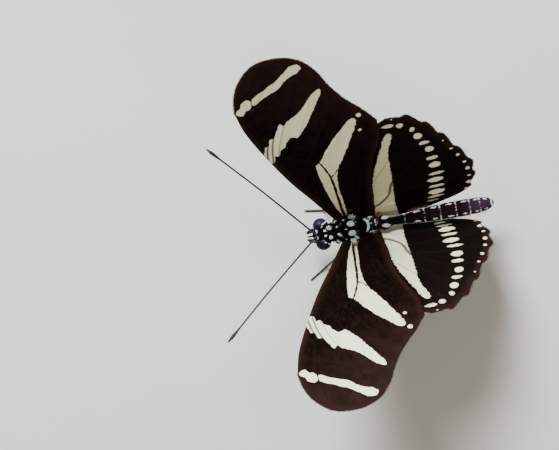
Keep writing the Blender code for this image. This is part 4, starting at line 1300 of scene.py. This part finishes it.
def add_wing_base_hair(rng, rim_surface):
    """Cream hair over each forewing's base, and the dark rim in front of it."""
    surface = hair_material("wing base hair", (0.02, 0.014, 0.01), (0.78, 0.73, 0.58))
    roots = []
    lies = []
    normals = []
    lengths = []
    for side, (outs, backs, length) in BASE_HAIR.items():
        out = rng.triangular(outs[0], outs[0], outs[1], BASE_HAIR_COUNT)
        back = rng.uniform(*backs, BASE_HAIR_COUNT)
        roots.append(np.stack([side * out, back, base_height(out, side) + 0.02], 1))
        run, rise = math.cos(WING_RAISE[side]), math.sin(WING_RAISE[side])
        lies.append(np.tile((side * run, 0.3, rise), (BASE_HAIR_COUNT, 1)))
        normals.append(np.tile((-side * rise, 0.0, run), (BASE_HAIR_COUNT, 1)))
        lengths.append(length * (0.7 + 0.5 * rng.random(BASE_HAIR_COUNT)))
    roots = np.vstack(roots)
    lies = np.vstack(lies) + rng.normal(0.0, 0.28, (len(roots), 3))
    values = {"tone": rng.random(len(roots))}
    add_tufts("wing_base_hair", roots, np.vstack(normals), lies, np.concatenate(lengths), 0.045,
              np.radians(12.0), 0.12, body_unwrap(roots), values, surface)
    rims = []
    for side, places in BASE_RIMS.items():
        places = np.array(places)
        heights = np.maximum(9.15, base_height(places[:, 0], side) + 0.2)
        path = smooth_path(np.stack([side * places[:, 0], places[:, 1], heights], 1), 6)
        rims.append(tube(path, BASE_RIM_RADIUS * swelling(np.linspace(0.0, 1.0, len(path))), 8))
    points, faces = join_parts(rims)
    add_piece("wing_base_rims", points, faces, [rim_surface], ())


# The fringe: the spacing of its hairs, how deep they are rooted, and the step that finds their
# direction; and the place and size of the wing plan on its bake map
FRINGE_PITCH = 0.045
FRINGE_SUNK = 0.08
SMALL_STEP = 0.01
PLAN_MARGIN = (4.0, 14.0)
PLAN_SIZE = (44.0, 36.0)


def add_fringe(name, wing, side, rng, surface):
    """Short hair scales along the outer margin of a wing."""
    _, margin = wing_outline(wing)
    even = resample(margin, FRINGE_PITCH)
    line = even + rng.normal(0.0, 0.01, even.shape)
    runs = unit(np.gradient(even, axis=0))
    away = np.stack([-runs[:, 1], runs[:, 0]], 1)
    if np.mean(np.sum((line - np.array(wing["centre"])) * away, axis=1)) < 0.0:
        away = -away
    away = away + 0.25 * rng.normal(0.0, 1.0, away.shape)
    lift = wing["lift"] - PLEAT_DEPTH * 0.4
    root = line - away * FRINGE_SUNK
    inner = wing_points(root, lift, side)
    outer = wing_points(root + away * SMALL_STEP, lift, side)
    ahead = wing_points(root + runs * SMALL_STEP, lift, side)
    lie = unit(outer - inner)
    normals = unit(np.cross(lie, ahead - inner))
    lengths = 0.24 + 0.14 * rng.random(len(line))
    unwrap = (line + np.array(PLAN_MARGIN)) / np.array(PLAN_SIZE)
    add_tufts(name, inner, normals, lie, lengths, 0.06, 0.0, 0.0, unwrap,
              {"tone": rng.random(len(line))}, surface)


# Eyes, feelers and mouth parts

EYE_CENTRE = (1.34, -4.58, 7.3)
EYE_RADII = (1.08, 1.14, 1.16)
EYE_CLEARANCE = 0.03

# How strong the painted purple sky reflection on each eye's top is, the left eye's weaker as painted
# shade
EYE_PAINTED_REFLECTION = {LEFT: 0.4, RIGHT: 1.0}
FACET_RISE = 1.012
ANTENNA_PATHS = {
    "left": [(0.42, -5.5, 8.2), (0.65, -6.0, 8.4), (6.8, -13.6, 10.2), (13.4, -21.3, 11.6)],
    "right": [(0.42, -5.5, 8.2), (0.65, -6.0, 8.4), (8.1, -12.5, 10.2), (15.5, -19.3, 11.6)],
}
ANTENNA_SEGMENTS = 38
ANTENNA_STATIONS = 6
ANTENNA_RADII = [(0.0, 0.18), (0.03, 0.14), (0.86, 0.13), (0.95, 0.25), (1.0, 0.09)]
PALP_PATH = [(0.5, -4.9, 6.2), (0.75, -5.5, 5.85), (0.72, -6.2, 6.1), (0.55, -6.75, 6.95)]
PALP_RADII = [(0.0, 0.2), (0.4, 0.24), (0.8, 0.16), (1.0, 0.06)]
PALP_HAIRS = 700
TONGUE_CENTRE = (-5.85, 5.0)
TONGUE_ROOT = [(0.0, -5.4, 6.4), (0.0, -5.7, 6.25)]
TONGUE_TURNS = 3.6
TONGUE_START = math.radians(95.0)
TONGUE_OUTER_RADIUS = 1.02
TONGUE_INNER_RADIUS = 0.2


def add_eyes(surface):
    """Each eye is a dome of some thousand facets, a small bump each."""
    for word, side in SIDES.items():
        shape = bmesh.new()
        bmesh.ops.create_icosphere(shape, subdivisions=5, radius=1.0)
        facets = len(shape.verts)
        bmesh.ops.subdivide_edges(shape, edges=shape.edges, cuts=1, use_grid_fill=True)
        shape.verts.ensure_lookup_table()
        points = unit(np.array([vertex.co for vertex in shape.verts]))
        points[:facets] *= FACET_RISE
        faces = [[vertex.index for vertex in face.verts] for face in shape.faces]
        shape.free()
        # Where the painted reflection lies: the top of the eye, away from its front and back, scaled for
        # each side
        dome = ease(0.95, 0.6, np.abs(points[:, 1])) * ease(0.2, 0.8, points[:, 2]) * EYE_PAINTED_REFLECTION[side]
        points = points * np.array(EYE_RADII) + np.array((side * EYE_CENTRE[0], *EYE_CENTRE[1:]))
        add_piece(f"eye_{word}_facets", points, faces, [surface], [f"eye_{word}"],
                  {"dome": dome})


def add_antennae(surface):
    """Thin ringed feelers that swell into a club over their last tenth."""
    for word, side in SIDES.items():
        route = np.array(ANTENNA_PATHS[word]) * (side, 1.0, 1.0)
        path = resample(smooth_path(route, 30), 0.02)
        along = np.linspace(0.0, 1.0, ANTENNA_SEGMENTS * ANTENNA_STATIONS + 1)
        steps = np.linspace(0.0, 1.0, len(path))
        path = np.stack([np.interp(along, steps, path[:, axis]) for axis in range(3)], 1)
        radius = profile(ANTENNA_RADII, along)
        within = (along * ANTENNA_SEGMENTS) % 1.0
        radius = radius * (1.0 + 0.1 * np.sin(math.pi * within) - 0.1 * (within < 0.01))
        base = ellipsoid(route[0], (0.2,) * 3)
        second = ellipsoid(path[ANTENNA_STATIONS], (0.17,) * 3)
        points, faces = join_parts([tube(path, radius, 12), base, second])
        add_piece(f"antenna_{word}_rings", points, faces, [surface],
                  [f"antenna_{word}"])


def add_palps(surface, coat, rng):
    """The palps curve up in front of the face under upright hair."""
    for word, side in SIDES.items():
        path = smooth_path(np.array(PALP_PATH) * (side, 1.0, 1.0), 8)
        along = np.linspace(0.0, 1.0, len(path))
        radii = profile(PALP_RADII, along)
        points, faces = tube(path, radii, 14)
        add_piece(f"palp_{word}_core", points, faces, [surface], [f"palp_{word}"])
        count = PALP_HAIRS
        pick = rng.integers(1, len(path) - 1, count)
        turn = rng.random(count) * math.tau
        runs = unit(np.gradient(path, axis=0))[pick]
        outward = unit(np.stack([np.cos(turn), np.zeros(count), np.sin(turn)], 1))
        outward = unit(outward - runs * np.sum(outward * runs, axis=1)[:, None])
        roots = path[pick] + outward * radii[pick][:, None] * 0.95
        lengths = (0.3 + 0.2 * rng.random(count)) * (1.2 - 0.5 * along[pick])
        unwrap = np.stack([turn / math.tau, along[pick]], 1)
        values = plain_values(rng.random(count), np.where(rng.random(count) < 0.12, 0.2, -0.5), 0.7)
        add_tufts(f"palp_{word}_hair", roots, outward, runs + rng.normal(0.0, 0.15, (count, 3)),
                  lengths, 0.055, np.radians(24.0), 0.1, unwrap, values, coat)


def add_tongue(surface):
    """The tongue, coiled flat below the face, with its root between the palps."""
    share = np.linspace(0.0, 1.0, 260)
    turn = TONGUE_START - math.tau * TONGUE_TURNS * share
    radius = TONGUE_OUTER_RADIUS - (TONGUE_OUTER_RADIUS - TONGUE_INNER_RADIUS) * share
    coil = np.stack([np.zeros(len(share)), TONGUE_CENTRE[0] + radius * np.cos(turn),
                     TONGUE_CENTRE[1] + radius * np.sin(turn)], 1)
    root = np.vstack([TONGUE_ROOT, coil[:1]])
    path = resample(np.vstack([smooth_path(root, 6)[:-1], coil]), 0.05)
    radii = np.interp(np.linspace(0.0, 1.0, len(path)), [0.0, 0.1, 1.0], [0.17, 0.13, 0.07])
    ribs = 1.0 + 0.06 * np.sin(np.arange(len(path)) * 1.7)
    points, faces = tube(path, radii * ribs, 12, 1.2)
    add_piece("tongue_coil", points, faces, [surface], ["proboscis"])


# Legs

LEG_POINTS = {
    "midleg_left": [(0.9, -0.5, 5.0), (1.3, -0.7, 4.75), (3.5, -2.4, 6.15), (4.9, -4.8, 0.42),
                    (6.4, -7.3, 0.2)],
    "midleg_right": [(0.9, -0.5, 5.0), (1.3, -0.7, 4.75), (3.1, -2.3, 6.15), (3.7, -3.6, 0.42),
                     (4.1, -6.3, 0.2)],
    "hindleg_left": [(0.9, 1.9, 5.0), (1.3, 2.2, 4.75), (3.7, 4.6, 5.35), (4.9, 8.6, 0.42),
                     (5.9, 11.6, 0.2)],
    "hindleg_right": [(0.9, 1.9, 5.0), (1.3, 2.2, 4.75), (3.6, 4.7, 5.35), (4.7, 8.8, 0.42),
                      (5.5, 11.9, 0.2)],
}
FORELEG_PATHS = [[(0.85, -1.9, 5.3), (0.9, -2.3, 4.95)], [(0.9, -2.3, 4.95), (0.88, -3.6, 5.0)],
                 [(0.88, -3.6, 5.0), (0.62, -4.35, 5.5)]]
FORELEG_WIDTHS = [(0.26, 0.2), (0.18, 0.14), (0.15, 0.1)]

# A walking leg's radii along each length, as (share, radius), and how far each bends upwards
LEG_LENGTHS = [
    ([(0.0, 0.3), (0.5, 0.34), (1.0, 0.22)], 0.0),
    ([(0.0, 0.2), (0.3, 0.27), (0.8, 0.2), (1.0, 0.16)], 0.08),
    ([(0.0, 0.15), (0.08, 0.18), (0.7, 0.14), (1.0, 0.17)], 0.05),
]
TARSUS_RADII = [(0.0, 0.11), (0.75, 0.145), (1.0, 0.12)]
TARSUS_SEGMENTS = 5
TARSUS_HEIGHT = 0.16
FIRST_SEGMENT_SHARE = 0.4
KNEE_RADIUS = 0.18
SPINE_RADII = [0.028, 0.02, 0.006]
LOWEST = 0.01

# Spines: how many, how long, and the radius of the limb that they stand on
FOOT_SPINES = (6, 0.2, 0.13)
SHIN_SPINES = (26, 0.32, 0.16)
THIGH_SPINES = (10, 0.24, 0.22)


def limb(start, end, widths, sag=0.0, sides=14, stations=12):
    """One length of a leg, given its widths along it as rows, bent a little upwards."""
    along = np.linspace(0.0, 1.0, stations)
    path = start + (end - start) * along[:, None]
    path[:, 2] += sag * np.sin(math.pi * along)
    return tube(path, profile(widths, along), sides)


def spines_along(start, end, count, length, radius, rng):
    """Small spines that point out and towards the foot, as thin three-sided cones."""
    run = (end - start) / np.linalg.norm(end - start)
    parts = []
    for index in range(count):
        share = 0.08 + 0.88 * (index + rng.random() * 0.5) / count
        turn = rng.random() * math.tau
        across = np.cross(run, (math.cos(turn), math.sin(turn), 0.3))
        across /= np.linalg.norm(across)
        root = start + (end - start) * share + across * radius * 0.7
        tip = root + (across * 0.7 + run * 0.75) * length
        parts.append(tube([root, (root + tip) / 2.0, tip], SPINE_RADII, 4))
    return parts


def tarsus_share(index):
    """How far along the foot one of its segments ends, 0 to 1."""
    return FIRST_SEGMENT_SHARE + (1.0 - FIRST_SEGMENT_SHARE) * index / (TARSUS_SEGMENTS - 1)


def add_legs(surface, rng):
    """Four walking legs with ringed feet, spines and claws, and the folded forelegs."""
    for name, places in LEG_POINTS.items():
        kind, word = name.split("_")
        places = np.array(places) * (SIDES[word], 1.0, 1.0)
        _, joint, knee, ankle, toe = places
        parts = [limb(start, end, widths, sag)
                 for start, end, (widths, sag) in zip(places, places[1:], LEG_LENGTHS)]
        parts.append(ellipsoid(knee, (KNEE_RADIUS,) * 3))
        for index in range(TARSUS_SEGMENTS):
            start = ankle + (toe - ankle) * (tarsus_share(index - 1) if index else 0.0)
            end = ankle + (toe - ankle) * tarsus_share(index)
            start[2] = TARSUS_HEIGHT * (1.0 if index else 1.7)
            end[2] = TARSUS_HEIGHT
            parts.append(limb(start, end, TARSUS_RADII, 0.0, 12, 6))
            parts += spines_along(start, end, *FOOT_SPINES, rng)
        parts += spines_along(knee, ankle, *SHIN_SPINES, rng)
        parts += spines_along(joint, knee, *THIGH_SPINES, rng)
        forward = (toe - ankle) * (1.0, 1.0, 0.0)
        forward /= np.linalg.norm(forward)
        aside = np.array((-forward[1], forward[0], 0.0))
        tip = np.array((toe[0], toe[1], TARSUS_HEIGHT))
        for hand in (-1.0, 1.0):
            claw = smooth_path([tip, tip + forward * 0.14 + aside * hand * 0.09,
                                tip + forward * 0.26 + aside * hand * 0.12 - (0.0, 0.0, 0.11)], 4)
            parts.append(tube(claw, np.linspace(0.05, 0.012, len(claw)), 6))
        points, faces = join_parts(parts)
        points[:, 2] = np.maximum(points[:, 2], LOWEST)
        add_piece(f"{kind}_{word}_limb", points, faces, [surface],
                  [f"{kind}_femur_{word}", f"{kind}_tibia_{word}", f"{kind}_tarsus_{word}"])
    for word, side in SIDES.items():
        parts = []
        for path, widths in zip(FORELEG_PATHS, FORELEG_WIDTHS):
            start, end = np.array(path) * (side, 1.0, 1.0)
            parts.append(limb(start, end, [(0.0, widths[0] * 0.8), (0.4, widths[0]), (1.0, widths[1])]))
            parts += spines_along(start, end, 14, 0.26, widths[1], rng)
        points, faces = join_parts(parts)
        add_piece(f"foreleg_{word}_limb", points, faces, [surface], [f"foreleg_{word}"])


# Camera, light and floor

CAMERA_TURN = math.radians(10.5)
CAMERA_LEAN = math.radians(1.7)
CAMERA_DISTANCE = 420.0
PIXEL = 0.15
FOCUS_HEIGHT = 7.5
FOCUS_PIXEL = (352.0, 228.5)
IMAGE_SIZE = (559, 450)
SENSOR_WIDTH = 36.0
LIGHT_TARGET = (0.0, 0.0, 0.015)

# Area lights: place and size in metres, power in watts and colour
LIGHTS = {
    "key": ((-0.34, -0.10, 0.40), 0.22, 8.5, (0.96, 1.0, 1.0)),
    "fill": ((0.32, 0.16, 0.36), 0.30, 1.2, (1.0, 0.86, 0.58)),
}
SKY_COLOUR = (0.97, 0.98, 1.0, 1.0)
SKY_STRENGTH = 0.32
FLOOR_HALF = 1.5


def add_camera():
    """The camera looks almost straight down, with the wing bases at their pixel of the photo."""
    toward_viewer = np.array([math.sin(CAMERA_LEAN), 0.0, math.cos(CAMERA_LEAN)])
    sideways = np.array([math.cos(CAMERA_LEAN), 0.0, -math.sin(CAMERA_LEAN)])
    rearward = np.array([0.0, 1.0, 0.0])
    right = math.cos(CAMERA_TURN) * rearward + math.sin(CAMERA_TURN) * sideways
    down = -math.sin(CAMERA_TURN) * rearward + math.cos(CAMERA_TURN) * sideways
    centre = np.array([0.0, 0.0, FOCUS_HEIGHT])
    centre = centre + (IMAGE_SIZE[0] / 2.0 - FOCUS_PIXEL[0]) * PIXEL * right
    centre = centre + (IMAGE_SIZE[1] / 2.0 - FOCUS_PIXEL[1]) * PIXEL * down
    place = to_metres(centre + CAMERA_DISTANCE * toward_viewer)
    camera_data = bpy.data.cameras.new("camera")
    camera_data.sensor_width = SENSOR_WIDTH
    camera_data.lens = CAMERA_DISTANCE / PIXEL * SENSOR_WIDTH / IMAGE_SIZE[0]
    camera_data.clip_start = 0.01
    camera = bpy.data.objects.new("camera", camera_data)
    turn = Matrix([right, -down, toward_viewer]).transposed().to_4x4()
    camera.matrix_world = Matrix.Translation(Vector(place)) @ turn
    bpy.context.scene.collection.objects.link(camera)
    bpy.context.scene.camera = camera


def add_light(name, place, size, power, colour):
    """A square area light that shines at the middle of the butterfly."""
    lamp = bpy.data.lights.new(name, "AREA")
    lamp.size = size
    lamp.energy = power
    lamp.color = colour
    light = bpy.data.objects.new(name, lamp)
    light.location = place
    aim = Vector(LIGHT_TARGET) - Vector(place)
    light.rotation_euler = aim.to_track_quat("-Z", "Y").to_euler()
    bpy.context.scene.collection.objects.link(light)


def add_stage():
    """A soft sky, two lights and the floor."""
    world = bpy.data.worlds.new("studio")
    world.use_nodes = True
    sky = world.node_tree.nodes["Background"]
    sky.inputs["Color"].default_value = SKY_COLOUR
    sky.inputs["Strength"].default_value = SKY_STRENGTH
    bpy.context.scene.world = world
    for name, row in LIGHTS.items():
        add_light(name, *row)
    mesh = bpy.data.meshes.new("floor")
    corners = [(FLOOR_HALF * x, FLOOR_HALF * y, 0.0) for x, y in ((-1, -1), (1, -1), (1, 1), (-1, 1))]
    mesh.from_pydata(corners, [], [(0, 1, 2, 3)])
    mesh.materials.append(floor_material())
    floor = bpy.data.objects.new("floor", mesh)
    bpy.context.scene.collection.objects.link(floor)


add_camera()
add_stage()
wing_materials = [wing_material("upper"), wing_material("under")]
for wing_name, wing in (("forewing", FOREWING), ("hindwing", HINDWING)):
    plan = plan_of(wing)
    values = wing_values(plan[0], wing, plan[2], plan[3])
    for word, side in SIDES.items():
        add_wing(f"{wing_name}_{word}", wing, side, plan, values, wing_materials)

rng = np.random.default_rng(7)
# The last colour of each horn material is its painted sheen tint
leg_surface = horn_material("leg chitin", (0.006, 0.005, 0.006), (0.02, 0.018, 0.03), 0.4, 14.0)
feeler_surface = horn_material("feeler chitin", (0.0020, 0.0020, 0.0055), (0.004, 0.005, 0.03), 0.4, 18.0)
body_coat = add_body(rng)
add_wing_base_hair(rng, leg_surface)
add_eyes(eye_material())
add_eye_bands(body_coat, rng)
add_antennae(feeler_surface)
palp_coat = body_material("palp coat", True)
add_palps(leg_surface, palp_coat, rng)
add_tongue(horn_material("tongue chitin", (0.0025, 0.002, 0.002), (0.006, 0.004, 0.004), 0.55, 18.0))
add_legs(leg_surface, rng)
fringe_surface = hair_material("margin fringe", (0.016, 0.008, 0.006), (0.05, 0.028, 0.02))
for word, side in SIDES.items():
    add_fringe(f"forewing_{word}_fringe", FOREWING, side, rng, fringe_surface)
    add_fringe(f"hindwing_{word}_fringe", HINDWING, side, rng, fringe_surface)
